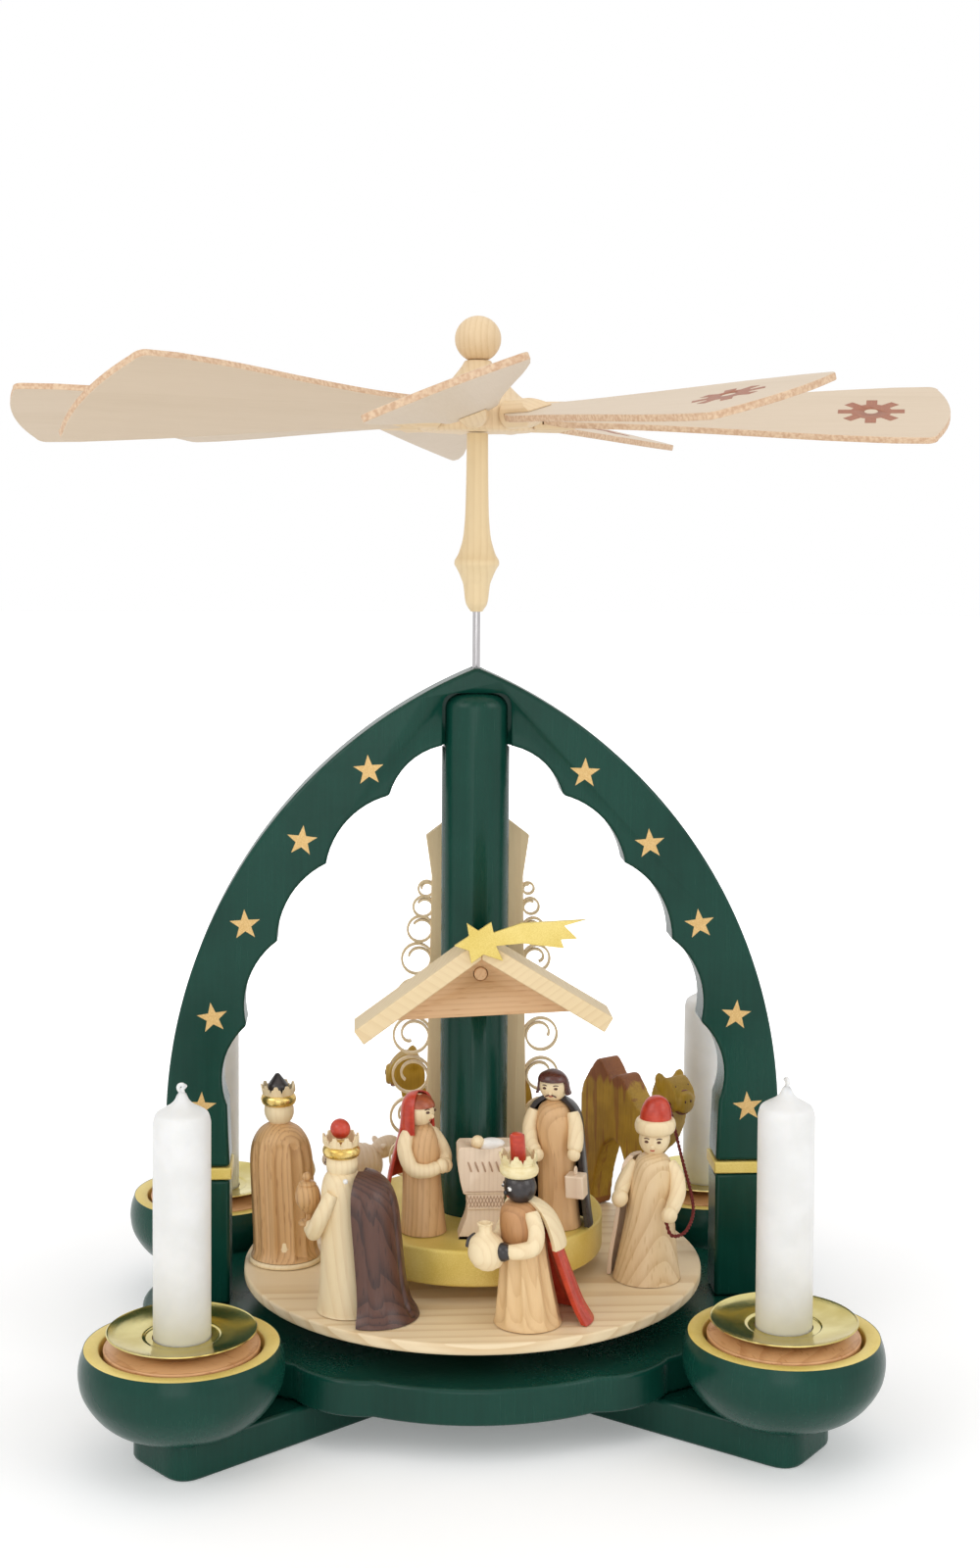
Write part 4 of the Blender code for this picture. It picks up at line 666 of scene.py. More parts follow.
profile = eased([
    (0.0, -GABLE_THICKNESS, 0.0), (DOWEL_RADIUS, -GABLE_THICKNESS, 0.0004),
    (DOWEL_RADIUS, DOWEL_BITE, 0.0003), (0.0, DOWEL_BITE, 0.0),
])
dowel = turned("hut_dowel", profile, 32)
grained(dowel, "Z", (0.011, 0.006))
put(dowel, -TURN / 4, "X").data.transform(hang)
dressed(dowel, beechwood, "stand", "beech", "dowel")

slope = Vector((math.cos(ROOF_SLOPE), -math.sin(ROOF_SLOPE)))
normal = Vector((math.sin(ROOF_SLOPE), math.cos(ROOF_SLOPE)))
ridge = Vector((JOINT_GAP / 2, apex + JOINT_GAP / math.cos(ROOF_SLOPE)))
eave = ridge + slope * ROOF_LENGTH
top = eave + normal * ROOF_THICKNESS
section = [ridge, eave, top, ridge + Vector((0.0, ROOF_THICKNESS / math.cos(ROOF_SLOPE)))]
for side, sign in (("left", -1), ("right", 1)):
    points = [(sign * x, -ROOF_DEPTH, z) for x, z in section]
    roof = sawn(f"roof_board_{side}", points, (0.0, ROOF_DEPTH, 0.0), BARE_EDGE)
    put(roof, sign * ROOF_SLOPE, "Y")
    grained(roof, "X", (0.006 * sign, 0.045), 0.2 * sign)
    put(roof, -sign * ROOF_SLOPE, "Y").data.transform(hang)
    dressed(roof, limewood, "stand", "pale_wood", f"roof_{side}")

# The comet: a star with a cut tail, sawn from thin plywood, painted gold on its face and edges, and glued
# to the front of the ridge.
COMET_LENGTH = 0.042
COMET_THICKNESS = 0.0015
COMET_POINTS = (
    (-0.102, 0.136), (-0.018, 0.075), (0.081, 0.136), (0.095, 0.055), (0.310, 0.118), (0.795, 0.121),
    (0.626, 0.081), (0.721, -0.021), (0.598, -0.021), (0.619, -0.088), (0.310, -0.036), (0.110, -0.045),
    (0.160, -0.162), (0.012, -0.105), (-0.081, -0.169), (-0.095, -0.071), (-0.202, -0.029), (-0.090, 0.038),
)
comet_up = apex + 0.0068
comet_front = -ROOF_DEPTH - JOINT_GAP - COMET_THICKNESS
points = [(x * COMET_LENGTH, comet_front, comet_up + z * COMET_LENGTH) for x, z in COMET_POINTS]
comet = sawn("comet_board", points, (0.0, COMET_THICKNESS, 0.0), 0.0002, 2)
comet.data.transform(hang)
dressed(comet, gold_paint, "stand", "gold_paint", "comet")

# The shaving tree: a pointed trunk board behind the column, with thin shavings raised along both its edges
# that curl up and over into rings. They get smaller towards the top. All is bare limewood.
TREE_X = 0.0015
TREE_FRONT = COLUMN_RADIUS + JOINT_GAP
TREE_THICKNESS = 0.003
TREE_HALF_WIDTH = 0.0172
TREE_WAIST_SHARE = 0.885
TREE_WAIST_LEVEL = 0.80
TREE_TOP = 0.186
TREE_SHOULDER = TREE_TOP - 0.0132
CURL_RADIUS = 0.0063
CURL_LEVELS = (
    (0.094, 1.00), (0.198, 1.00), (0.302, 0.97), (0.402, 0.97), (0.499, 0.89),
    (0.593, 0.79), (0.667, 0.65), (0.723, 0.51), (0.768, 0.38),
)
CURL_WIDTH = 0.00216
SHAVING = 0.0007

low = PODIUM_TOP + JOINT_GAP
height = TREE_TOP - low
waist = (TREE_HALF_WIDTH * TREE_WAIST_SHARE, low + height * TREE_WAIST_LEVEL)
half = [(TREE_HALF_WIDTH, low), waist, (TREE_HALF_WIDTH, TREE_SHOULDER)]
outline = half + [(0.0, TREE_TOP)] + [(-x, z) for x, z in reversed(half)]
trunk = sawn("tree_trunk", [(x, TREE_FRONT, z) for x, z in outline], (0.0, TREE_THICKNESS, 0.0), 0.0003)
grained(trunk, "Z", (0.004, 0.03))
put(trunk, at=(TREE_X, 0.0, 0.0))
dressed(trunk, limewood, "stand", "pale_wood", "curl_tree")

shaving_middle = TREE_FRONT + TREE_THICKNESS / 2
for side, sign in (("left", -1), ("right", 1)):
    for number, (level, size) in enumerate(CURL_LEVELS):
        radius = CURL_RADIUS * size
        edge = TREE_HALF_WIDTH * (1 - (1 - TREE_WAIST_SHARE) * level / TREE_WAIST_LEVEL)
        turns = 1.25 + 0.35 * size + 0.12 * math.sin(5.1 * number + sign)
        wander = 0.10 * math.sin(3.7 * number + 2.0 * sign)
        steps = round(34 * turns)
        points = []
        for step in range(steps + 1):
            share = step / steps * turns
            reach = radius * (1 - 0.13 * share)
            if share >= 1:
                reach = radius * (0.87 - 0.62 * (share - 1) - 0.4 * (share - 1) ** 2)
            angle = TURN * (0.5 - share) - wander * share
            flare = 0.00025 * math.sin(9.0 * share + number)
            points.append((sign * reach * math.cos(angle), flare, reach * math.sin(angle)))
        curl = draw(f"curl_{side}_{number}", points)
        bpy.ops.mesh.extrude_region_move(TRANSFORM_OT_translate={"value": (0.0, CURL_WIDTH, 0.0)})
        bpy.ops.object.mode_set(mode="OBJECT")
        fitted(curl, "SOLIDIFY", thickness=SHAVING, offset=-1.0)
        bpy.ops.object.mode_set(mode="EDIT")
        closed_up(curl, 50.0)
        grained(curl, "Y", (0.02, 0.02 + 0.01 * number), 0.05 * number)
        centre_x = TREE_X + sign * (edge + radius - SHAVING)
        put(curl, at=(centre_x, shaving_middle - CURL_WIDTH / 2, low + height * level))
        dressed(curl, limewood, "stand", "pale_wood")

# The four bowls: turned beech, lacquered green outside. The flat rim and the well are sprayed gold with the
# same paint as the podium. Each stands on one end of a foot bar.
CANDLE_X = 0.0894
CANDLE_Y = 0.0712
SEATS = (("front_left", -1, -1), ("front_right", 1, -1), ("back_left", -1, 1), ("back_right", 1, 1))
BOWL_BOTTOM = BASE_BOTTOM
BOWL_HEIGHT = 0.0236
BOWL_RADIUS = 0.0302
BOWL_SIDE = (
    (0.46, 0.0), (0.66, 0.05), (0.83, 0.21), (0.96, 0.45), (1.0, 0.66), (0.992, 0.84), (0.952, 1.0),
)
RIM_OUTER = 0.0287
WELL_RADIUS = 0.0240
WELL_DEPTH = 0.0098
PAINT = 0.00012


def flowing(points, steps=6):
    """Points on one smooth line through the given points, which may have any number of axes."""
    known = [np.array(point, float) for point in points]
    known = [2 * known[0] - known[1]] + known + [2 * known[-1] - known[-2]]
    line = []
    for a, b, c, d in zip(known, known[1:], known[2:], known[3:]):
        for t in (step / steps for step in range(steps)):
            bend = (2 * a - 5 * b + 4 * c - d) * t**2 + (3 * b - a - 3 * c + d) * t**3
            line.append(0.5 * (2 * b + (c - a) * t + bend))
    return [tuple(point) for point in line + [known[-2]]]


def copied(piece, name):
    """A copy of the piece with its own mesh."""
    twin = piece.copy()
    twin.data = piece.data.copy()
    twin.name = name
    bpy.context.scene.collection.objects.link(twin)
    return twin


def seated(piece, finish, kind, slot, body="stand", replaced=""):
    """Puts the piece, made at the origin, on all four seats, with each copy turned differently."""
    for number, (corner, sx, sy) in enumerate(SEATS):
        twin = copied(piece, f"{kind}_{corner}")
        put(twin, 1.9 * number, at=(sx * CANDLE_X, sy * CANDLE_Y, 0.0))
        names = [f"{replaced}_{corner}"] if replaced else []
        dressed(twin, finish, f"{body}_{corner}" if body == "candle" else body, slot, *names)
    bpy.data.objects.remove(piece)


bowl_top = BOWL_BOTTOM + BOWL_HEIGHT
well_floor = bowl_top - WELL_DEPTH
side = flowing([(r * BOWL_RADIUS, BOWL_BOTTOM + z * BOWL_HEIGHT) for r, z in BOWL_SIDE], 5)
profile = [(0.0, BOWL_BOTTOM), (side[0][0] - 0.0006, BOWL_BOTTOM)] + side
profile += [
    (RIM_OUTER - 0.0004, bowl_top - PAINT), (WELL_RADIUS + 2 * PAINT, bowl_top - 0.0004),
    (WELL_RADIUS + PAINT, well_floor - PAINT), (0.0, well_floor - PAINT),
]
seated(turned("bowl", profile, 80), green_lacquer, "bowl_wood", "green_lacquer", replaced="bowl")
profile = [
    (RIM_OUTER - 0.00035, bowl_top - 0.0002), (RIM_OUTER, bowl_top - 0.0001),
    (RIM_OUTER - 0.0002, bowl_top),
]
profile += flowing([
    (WELL_RADIUS + 0.0009, bowl_top - 0.00008), (WELL_RADIUS + 0.0003, bowl_top - 0.0003),
    (WELL_RADIUS, bowl_top - 0.0010),
], 4)
profile += [
    (WELL_RADIUS, well_floor), (0.0, well_floor), (0.0, well_floor - PAINT / 2),
    (WELL_RADIUS + PAINT, well_floor - PAINT / 2), (WELL_RADIUS + 1.5 * PAINT, bowl_top - 0.0012),
    (WELL_RADIUS + 0.0009, bowl_top - 0.0002), profile[0],
]
seated(turned("rim", profile, 80), gold_paint, "bowl_rim", "gold_paint")

# The inserts: turned beech with a bead at the edge and a cove up to the dish, oiled. They drop into the
# bowls' wells, and their sockets hold the candles.
INSERT_RADIUS = WELL_RADIUS - 0.0010
INSERT_HEIGHT = 0.0110
INSERT_BEAD = 0.0017
SOCKET_RADIUS = 0.0088
SOCKET_DEPTH = 0.0062
low = well_floor + JOINT_GAP
insert_top = low + INSERT_HEIGHT
bead = insert_top - INSERT_BEAD
profile = [(0.0, low), (INSERT_RADIUS - 0.0005, low), (INSERT_RADIUS, low + 0.0005)]
profile += flowing([
    (INSERT_RADIUS - 0.00015, bead - 0.0012), (INSERT_RADIUS, bead - 0.0004),
    (INSERT_RADIUS - 0.0003, bead + 0.0001),
    (INSERT_RADIUS - 0.0009, bead + 0.0001), (INSERT_RADIUS - 0.0020, bead + 0.0005),
    (0.0184, insert_top - 0.0003), (0.0172, insert_top),
], 4)
profile += [
    (SOCKET_RADIUS + 0.0003, insert_top), (SOCKET_RADIUS, insert_top - 0.0003),
    (SOCKET_RADIUS, insert_top - SOCKET_DEPTH), (0.0, insert_top - SOCKET_DEPTH),
]
insert = grained(turned("insert", profile, 72), "X", (0.011, 0.034))
oiled_beech = timber(
    "oiled_beech", (colour(222, 172, 122), colour(186, 128, 80)), 0.0016, 0.35, 0.30, 0.4, 0.4,
)
seated(insert, oiled_beech, "insert_wood", "beech", replaced="insert")

# The drip dishes: thin brass discs spun to a shallow cup, with a flat ring round the candle, polished. They
# lie loose on the inserts.
DISH_FLAT = 0.0110
DISH_RADIUS = 0.0222
DISH_RISE = 0.0023
SHEET = 0.0005
flat = insert_top + JOINT_GAP
path = [(SOCKET_RADIUS, flat), (DISH_FLAT - 0.0006, flat)] + flowing([
    (DISH_FLAT, flat + 0.00005), (DISH_FLAT + 0.0005, flat + 0.0003), (DISH_FLAT + 0.0014, flat + 0.00042),
    (0.0158, flat + DISH_RISE * 0.32), (0.0192, flat + DISH_RISE * 0.60), (0.0213, flat + DISH_RISE * 0.88),
    (DISH_RADIUS - 0.0003, flat + DISH_RISE),
], 5)
profile = path + [(DISH_RADIUS, flat + DISH_RISE + SHEET * 0.5)]
profile += [(radius, height + SHEET) for radius, height in reversed(path)] + [path[0]]
seated(turned("dish", profile, 96, 30.0), brass, "dish_brass", "brass", replaced="dish")

# The candles: white household wax, drawn, with a pressed shoulder and tip. Each has a braided cotton wick
# that is bent over, stiff with wax.
CANDLE_RADIUS = 0.0085
CANDLE_LENGTH = 0.0720
WICK_RADIUS = 0.0006
TIP = (
    (0.0, 0.976), (0.35, 0.998), (0.95, 1.016), (2.7, 1.032), (4.9, 1.049), (6.3, 1.068), (7.0, 1.088),
    (7.5, 1.098),
)
WICK = (
    (
        (0.0, 0.0, 76.5), (0.25, 0.0, 77.9), (-0.35, 0.1, 79.2), (-1.0, 0.2, 80.4), (-0.7, 0.1, 81.3),
        (0.2, -0.1, 81.5), (0.9, 0.0, 80.9),
    ),
    (
        (0.2, 0.1, 76.6), (-0.3, 0.2, 78.0), (0.35, 0.0, 79.1), (0.1, -0.1, 80.1), (0.6, 0.0, 80.7),
        (1.3, 0.1, 81.4),
    ),
    ((-0.2, 0.0, 77.0), (0.5, 0.1, 78.2), (1.1, 0.0, 78.9)),
    ((0.1, 0.0, 77.4), (-0.7, -0.1, 78.3), (-1.2, 0.0, 78.6)),
)


def strand(name, points, radius, sides=8, ends=1.0):
    """A round strand along a smooth line. A point's fourth value, if any, is its share of the radius."""
    line = flowing(points, 5)
    path = bpy.data.curves.new(name, "CURVE")
    path.dimensions = "3D"
    path.bevel_depth = radius
    path.bevel_resolution = max(0, sides // 2 - 2)
    path.use_fill_caps = True
    run = path.splines.new("POLY")
    run.points.add(len(line) - 1)
    for number, (point, place) in enumerate(zip(run.points, line)):
        point.co = (*place[:3], 1.0)
        point.radius = (place[3] if len(place) > 3 else 1.0) * (
            ends if number in (0, len(line) - 1) else 1.0
        )
    piece = bpy.data.objects.new(name, path)
    bpy.context.scene.collection.objects.link(piece)
    picked(piece)
    bpy.ops.object.convert(target="MESH")
    bpy.ops.object.mode_set(mode="EDIT")
    return closed_up(piece, 50.0)


def joined(name, *pieces):
    """Makes one object of several."""
    picked(*pieces)
    if len(pieces) > 1:
        bpy.ops.object.join()
    pieces[0].name = name
    return pieces[0]


wax, wax_shader, place = new_finish("wax", 0.42, coat=0.15, coat_roughness=0.3)
cloud = place.noise(90.0, 3.0)
skin = place.noise(1400.0, 2.0)
feed(
    wax_shader,
    Base_Color=cloud.between(0.3, 0.7).mixed(colour(233, 233, 232), colour(225, 225, 223)),
    Roughness=cloud * 0.14 + 0.34,
    Normal=bumped(cloud * 0.8 + skin * 0.2, 0.00008),
)
wax_shader.inputs["Subsurface Weight"].default_value = 0.25
wax_shader.inputs["Subsurface Radius"].default_value = (0.003, 0.0027, 0.0022)
wax_shader.inputs["Subsurface Scale"].default_value = 1.0
low = insert_top - SOCKET_DEPTH + JOINT_GAP
profile = [(0.0, low), (CANDLE_RADIUS - 0.0004, low), (CANDLE_RADIUS, low + 0.0004)]
profile += flowing(
    [(CANDLE_RADIUS - inward * 0.001, low + CANDLE_LENGTH * share) for inward, share in TIP], 4,
)
profile.append((0.0, low + CANDLE_LENGTH * 1.104))
body = turned("candle", profile, 64, 60.0)
braid = [
    strand("wick", [(x / 1000, y / 1000, low + z / 1000) for x, y, z in points], WICK_RADIUS, 8, 0.6)
    for points in WICK
]
seated(joined("candle", body, *braid), wax, "candle_wax", "wax", "candle", "candle")

# The turntable: a disc turned from one pale ash board, with its edge drawn in below, and a small hub under
# it. Both are pressed on the steel shaft, whose ground point runs in the brass cup.
TABLE_RADIUS = 0.0750
TABLE_TOP = 0.0345
TABLE_THICKNESS = 0.0050
TABLE_CHAMFER = 0.0045
TABLE_EASE = 0.0008
SHAFT_TOP = 0.2618

ashwood = timber(
    "ashwood", (colour(236, 214, 176), colour(213, 182, 136)), 0.0042, 0.52, 0.22, 0.0, 0.42, 0.006,
)
underside = TABLE_TOP - TABLE_THICKNESS
bore = SHAFT_RADIUS + JOINT_GAP
rim = eased([
    (bore, underside, 0.0), (TABLE_RADIUS - TABLE_CHAMFER, underside, TABLE_EASE),
    (TABLE_RADIUS, underside + TABLE_THICKNESS * 0.35, TABLE_EASE), (TABLE_RADIUS, TABLE_TOP, TABLE_EASE),
    (bore, TABLE_TOP, 0.0),
])
disc = grained(turned("turntable_wood", rim + rim[:1], 128), "X", (0.012, 0.010))
dressed(disc, ashwood, "turning", "pale_wood", "turntable")
low, high = CUP_TOP + JOINT_GAP, underside - JOINT_GAP
profile = [(bore, low), (0.0046, low), (0.0050, low + 0.0003)]
middle = (low + high) / 2
profile += flowing(
    [(0.0052, low + 0.0008), (0.0072, middle - 0.0012), (0.0106, middle), (0.0110, high - 0.0012)], 4,
)
profile += [(0.0107, high), (bore, high), (bore, low)]
hub = grained(turned("table_hub_wood", profile, 48), "Z", (0.006, 0.004))
dressed(hub, limewood, "turning", "pale_wood", "turntable_hub")

steel, steel_shader, place = new_finish("drawn_steel", 0.25, 1.0)
drawn = place.stretched((1.0, 1.0, 0.02)).noise(5200.0, 2.0)
feed(
    steel_shader,
    Base_Color=drawn.between(0.2, 0.8).mixed(colour(208, 206, 206), colour(176, 172, 174)),
    Roughness=drawn * 0.16 + 0.16,
    Normal=bumped(drawn, 0.00002),
)
low = CUP_TOP - CUP_BORE_DEPTH + JOINT_GAP
profile = [
    (0.0, low), (0.0003, low + 0.0001), (SHAFT_RADIUS, low + 0.0022), (SHAFT_RADIUS, SHAFT_TOP - 0.0003),
]
shaft = turned("shaft_steel", profile + [(SHAFT_RADIUS - 0.0003, SHAFT_TOP), (0.0, SHAFT_TOP)], 32)
dressed(shaft, steel, "turning", "steel", "shaft")

# The rotor's middle: a turned limewood spindle on the shaft, a flared hub drilled for the stems, and a ball
# glued on top. All are sanded and left bare.
SPINDLE_FOOT = ARCH_APEX + 0.0178
SPINDLE_TOP = SPINDLE_FOOT + 0.0579
SPINDLE = (
    (2.5, 0.015), (3.3, 0.037), (3.75, 0.066), (4.05, 0.110), (4.4, 0.154), (5.0, 0.183), (5.7, 0.213),
    (6.6, 0.244),
    (7.25, 0.262), (7.3, 0.277), (7.1, 0.291), (6.5, 0.308), (5.9, 0.330), (5.3, 0.362), (4.8, 0.392),
    (4.4, 0.430),
    (4.1, 0.480), (3.85, 0.545), (3.7, 0.640), (3.55, 0.800), (3.45, 0.990),
)
HUB_BOTTOM = SPINDLE_TOP + JOINT_GAP
BLADE_HEIGHT = HUB_BOTTOM + 0.0050
HUB_RADIUS = 0.0188
HUB_SIDE = (
    (17.9, 0.25), (18.6, 0.9), (18.8, 2.0), (18.8, 4.0), (18.7, 6.4), (18.2, 8.0), (16.9, 9.4),
    (14.6, 10.9),
    (12.0, 13.2), (9.4, 16.0), (7.2, 18.7), (5.4, 21.0), (4.4, 22.7),
)
HUB_HEIGHT = 0.0230
BALL_RADIUS = 0.0075
BALL_FLAT = 0.0034
TENON_HOLE = 0.0029
BLADES = (
    (-96.5, 21.0), (-59.8, 16.0), (-15.0, 23.0), (21.5, 10.0), (64.6, 13.0),
    (98.7, 23.0), (141.5, 10.0), (177.7, 19.0), (-139.4, 28.5),
)

low = SHAFT_TOP + JOINT_GAP
height = SPINDLE_TOP - SPINDLE_FOOT
profile = [(0.0, low), (bore, low), (bore, SPINDLE_FOOT), (0.0019, SPINDLE_FOOT)]
profile += flowing([(radius / 1000, SPINDLE_FOOT + share * height) for radius, share in SPINDLE], 3)
spindle = turned("spindle_wood", profile + [(0.0033, SPINDLE_TOP), (0.0, SPINDLE_TOP)], 64)
dressed(grained(spindle, "Z", (0.010, 0.004)), limewood, "turning", "pale_wood", "spindle")

hub_top = HUB_BOTTOM + HUB_HEIGHT
profile = [(0.0, HUB_BOTTOM), (0.0174, HUB_BOTTOM)]
profile += flowing([(radius / 1000, HUB_BOTTOM + up / 1000) for radius, up in HUB_SIDE], 4)
hub = turned("hub_wood", profile + [(0.0041, hub_top), (0.0, hub_top)], 96)
for azimuth, pitch in BLADES:
    hole = put(drill(TENON_HOLE, 0.012, 0.021), TURN / 4, "Y")
    cut(hub, put(hole, math.radians(azimuth), "Z", (0.0, 0.0, BLADE_HEIGHT)))
bare_lime = timber("bare_lime", (colour(228, 202, 163), colour(206, 174, 128)), 0.0019, 0.25, 0.42)
dressed(grained(hub, "Z", (0.030, 0.008)), bare_lime, "turning", "beech", "rotor_hub")

centre = hub_top + JOINT_GAP + math.sqrt(BALL_RADIUS**2 - BALL_FLAT**2)
start = -math.acos(BALL_FLAT / BALL_RADIUS)
profile = [(0.0, hub_top + JOINT_GAP)]
for angle in (start + (TURN / 4 - start) * step / 32 for step in range(33)):
    profile.append((BALL_RADIUS * math.cos(angle), centre + BALL_RADIUS * math.sin(angle)))
dressed(
    grained(turned("ball_wood", profile, 64), "Z", (0.016, 0.002), 0.3), bare_lime, "turning", "beech",
    "ball",
)

# The nine blades: thin plywood sawn to shape, a little browner at its edges, each glued in the slot of a
# turned stem whose end is cut on a slant. The stems' tenons turn in the hub, which sets the pitch. A
# rosette is printed near the tip.
ROTOR_RADIUS = 0.1497
BLADE_THICKNESS = 0.0022
BLADE_SIDE = (
    (22.5, 4.9), (27.0, 6.9), (32.0, 8.6), (53.0, 10.6), (80.5, 14.7), (110.2, 19.8), (132.0, 22.6),
)
TIP_HALF_WIDTH = 0.0230
TIP_CORNER = 0.0034
TIP_BULGE = 0.0036
STEM_RADIUS = 0.0047
STEM_START = HUB_RADIUS + JOINT_GAP
STEM_END = STEM_START + 0.0165
STEM_CUT = 0.0085
STEM_EDGE = 0.0003
SLIT_START = 0.0220
SLIT_EASE = 0.0001
TENON_RADIUS = 0.0026
TENON_LENGTH = 0.0065
ROSETTE_AT = 0.1255
ROSETTE_REACH = 0.0104
ROSETTE_RING = 0.0064
ROSETTE_HOLE = 0.0021
ROSETTE_RAY = 0.0017
PRINT = 0.00005

tip_side = ROTOR_RADIUS - TIP_BULGE
side = flowing([(x / 1000, y / 1000) for x, y in BLADE_SIDE], 6)
corner = [
    (tip_side - TIP_CORNER * (1 - math.sin(angle)), TIP_HALF_WIDTH - TIP_CORNER * (1 - math.cos(angle)))
    for angle in (TURN / 4 * step / 6 for step in range(7))
]
edge_line = side + corner
tip = bow((corner[-1][0], -corner[-1][1]), corner[-1], TIP_BULGE, 12)
outline = [(x, -y) for x, y in edge_line[:-1]] + tip + edge_line[::-1]
plate = sawn(
    "blade", [(x, y, -BLADE_THICKNESS / 2) for x, y in outline], (0.0, 0.0, BLADE_THICKNESS), 0.00035, 2,
)
grained(plate, "X", (0.03, 0.26))

stem = turned("stem", [
    (0.0, HUB_RADIUS - TENON_LENGTH), (TENON_RADIUS, HUB_RADIUS - TENON_LENGTH), (TENON_RADIUS, STEM_START),
    (STEM_RADIUS - STEM_EDGE, STEM_START), (STEM_RADIUS, STEM_START + STEM_EDGE), (STEM_RADIUS, STEM_END),
    (0.0, STEM_END),
], 40)
put(stem, TURN / 4, "Y")
slit_half = BLADE_THICKNESS / 2 + SLIT_EASE
cut(stem, block("slit", (SLIT_START, -0.01, -slit_half), (STEM_END + 0.01, 0.01, slit_half), 0.0))
for sign in (-1, 1):
    low, high = sign * BLADE_THICKNESS * 0.55, sign * 2 * STEM_RADIUS
    slant = [
        (STEM_END + 0.0006, low), (STEM_END - 2 * STEM_CUT, high), (STEM_END + 0.01, high),
        (STEM_END + 0.01, low),
    ]
    cut(stem, sawn("scarf", [(x, -0.01, z) for x, z in slant], (0.0, 0.02, 0.0), 0.0))
bpy.ops.object.shade_smooth_by_angle(angle=math.radians(40.0))
grained(stem, "X", (0.013, 0.003))

points = []
for angle in (TURN * ray / 8 for ray in range(8)):
    for reach, side in ((ROSETTE_RING, -1), (ROSETTE_REACH, -1), (ROSETTE_REACH, 1), (ROSETTE_RING, 1)):
        aside = side * ROSETTE_RAY
        out = math.sqrt(reach**2 - aside**2)
        x = out * math.cos(angle) - aside * math.sin(angle)
        y = out * math.sin(angle) + aside * math.cos(angle)
        points.append((x, y, BLADE_THICKNESS / 2))
rosette = sawn("rosette", points, (0.0, 0.0, PRINT), 0.0)
put(cut(rosette, drill(ROSETTE_HOLE, 0.0, 0.003, 40)), at=(ROSETTE_AT, 0.0, 0.0))

plywood = timber(
    "blade_plywood", (colour(213, 194, 170), colour(196, 175, 147)), 0.0035, 0.12, 0.34, 0.0, 0.48,
)
ply_edge, edge_shader, place = new_finish("plywood_edge", 0.6)
ply = place.noise(900.0, 3.0)
feed(
    edge_shader,
    Base_Color=ply.between(0.3, 0.7).mixed(colour(222, 194, 162), colour(198, 160, 128)),
    Roughness=ply * 0.2 + 0.5,
    Normal=bumped(ply, 0.00006),
)
brown_print, print_shader, place = new_finish("brown_print", 0.5)
print_grain = place.noise(1800.0, 3.0)
feed(
    print_shader,
    Base_Color=print_grain.between(0.3, 0.75).mixed(colour(150, 92, 68), colour(170, 112, 84)),
    Roughness=print_grain * 0.15 + 0.45,
    Normal=bumped(print_grain, 0.00003),
)
plate.data.materials.append(plywood)
plate.data.materials.append(ply_edge)
for face in plate.data.polygons:
    face.material_index = int(abs(face.normal.z) < 0.5)
stem.data.materials.append(bare_lime)
rosette.data.materials.append(brown_print)
masters = {
    "blade_plate": (plate, "pale_wood"), "blade_stem": (stem, "pale_wood"),
    "rosette": (rosette, "walnut_light"),
}
for number, (azimuth, pitch) in enumerate(BLADES):
    for name, (master, slot) in masters.items():
        piece = copied(master, f"{name}_{number}")
        put(piece, math.radians(pitch), "X")
        put(piece, math.radians(azimuth), "Z", (0.0, 0.0, BLADE_HEIGHT))
        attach(piece, f"blade_{number}")
        if master is plate:
            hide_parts(f"blade_{number}")
for master in (plate, stem, rosette):
    bpy.data.objects.remove(master)

# The three kings: each is turned from several woods, a robe, a ball head with painted eyes, a crown ring
# with gouged teeth and a cap, with a carved cloak glued round the back and bent sleeves with ball hands.
FOOT = TABLE_TOP + JOINT_GAP
ON_PODIUM = PODIUM_TOP + JOINT_GAP
PLACES = {
    "king_left": ("turning", (-0.06155, 0.00064, FOOT), 85.0),
    "king_front_left": ("turning", (-0.04052, -0.0450, FOOT), 150.0),
    "king_front": ("turning", (0.01365, -0.05776, FOOT), -160.0),
    "attendant": ("turning", (0.05488, -0.02096, FOOT), -105.0),
    "camel_far": ("turning", (0.0, 0.05595, FOOT), 180.0),
    "camel": ("turning", (0.05794, 0.0372, FOOT), -57.0),
    "sheep": ("turning", (-0.03904, 0.04201, FOOT), 20.0),
    "mary": ("stand", (-0.0170, -0.02248, ON_PODIUM), -35.0),
    "joseph": ("stand", (0.02682, -0.01862, ON_PODIUM), -110.0),
    "crib": ("stand", (0.00221, -0.02699, ON_PODIUM), 0.0),
}
SLOTS = {
    "maplewood": "maple_wood", "tanwood": "maple_wood", "ashrobewood": "maple_wood",
    "oakwood": "oak_wood", "pearwood": "pear_wood", "crib_line": "pear_wood",
    "walnutwood": "walnut_light", "dark_walnutwood": "walnut_light", "alderwood": "walnut_light",
    "black_paint": "walnut_light", "brown_paint": "walnut_light", "hair_paint": "walnut_light",
    "fringe_paint": "walnut_light", "camelwood": "camel_stain", "rust_paint": "camel_stain",
    "red_paint": "red_cord", "lip_paint": "red_cord", "white_paint": "wax",
    "crown_gold": "gold_paint", "pale_gold": "gold_paint",
}
ROBE = (
    (0.0100, 0.0), (0.0096, 0.04), (0.0082, 0.30), (0.0072, 0.62), (0.0070, 0.80), (0.0056, 0.94),
    (0.0024, 1.0),
)
ROBE_HEIGHT = 0.0440
EYE_ASIDE, EYE_UP, BROW_UP = 0.40, 0.02, 0.24
NOSE_DROP, MOUTH_DROP = 0.30, 0.56
EYE_SIZE = 0.14
CROWN_RING = 0.27
CROWN_TEETH = 9
CUFF = 0.86


def mm(*points):
    """Points typed in millimetres."""
    return [tuple(value / 1000 for value in point) for point in points]


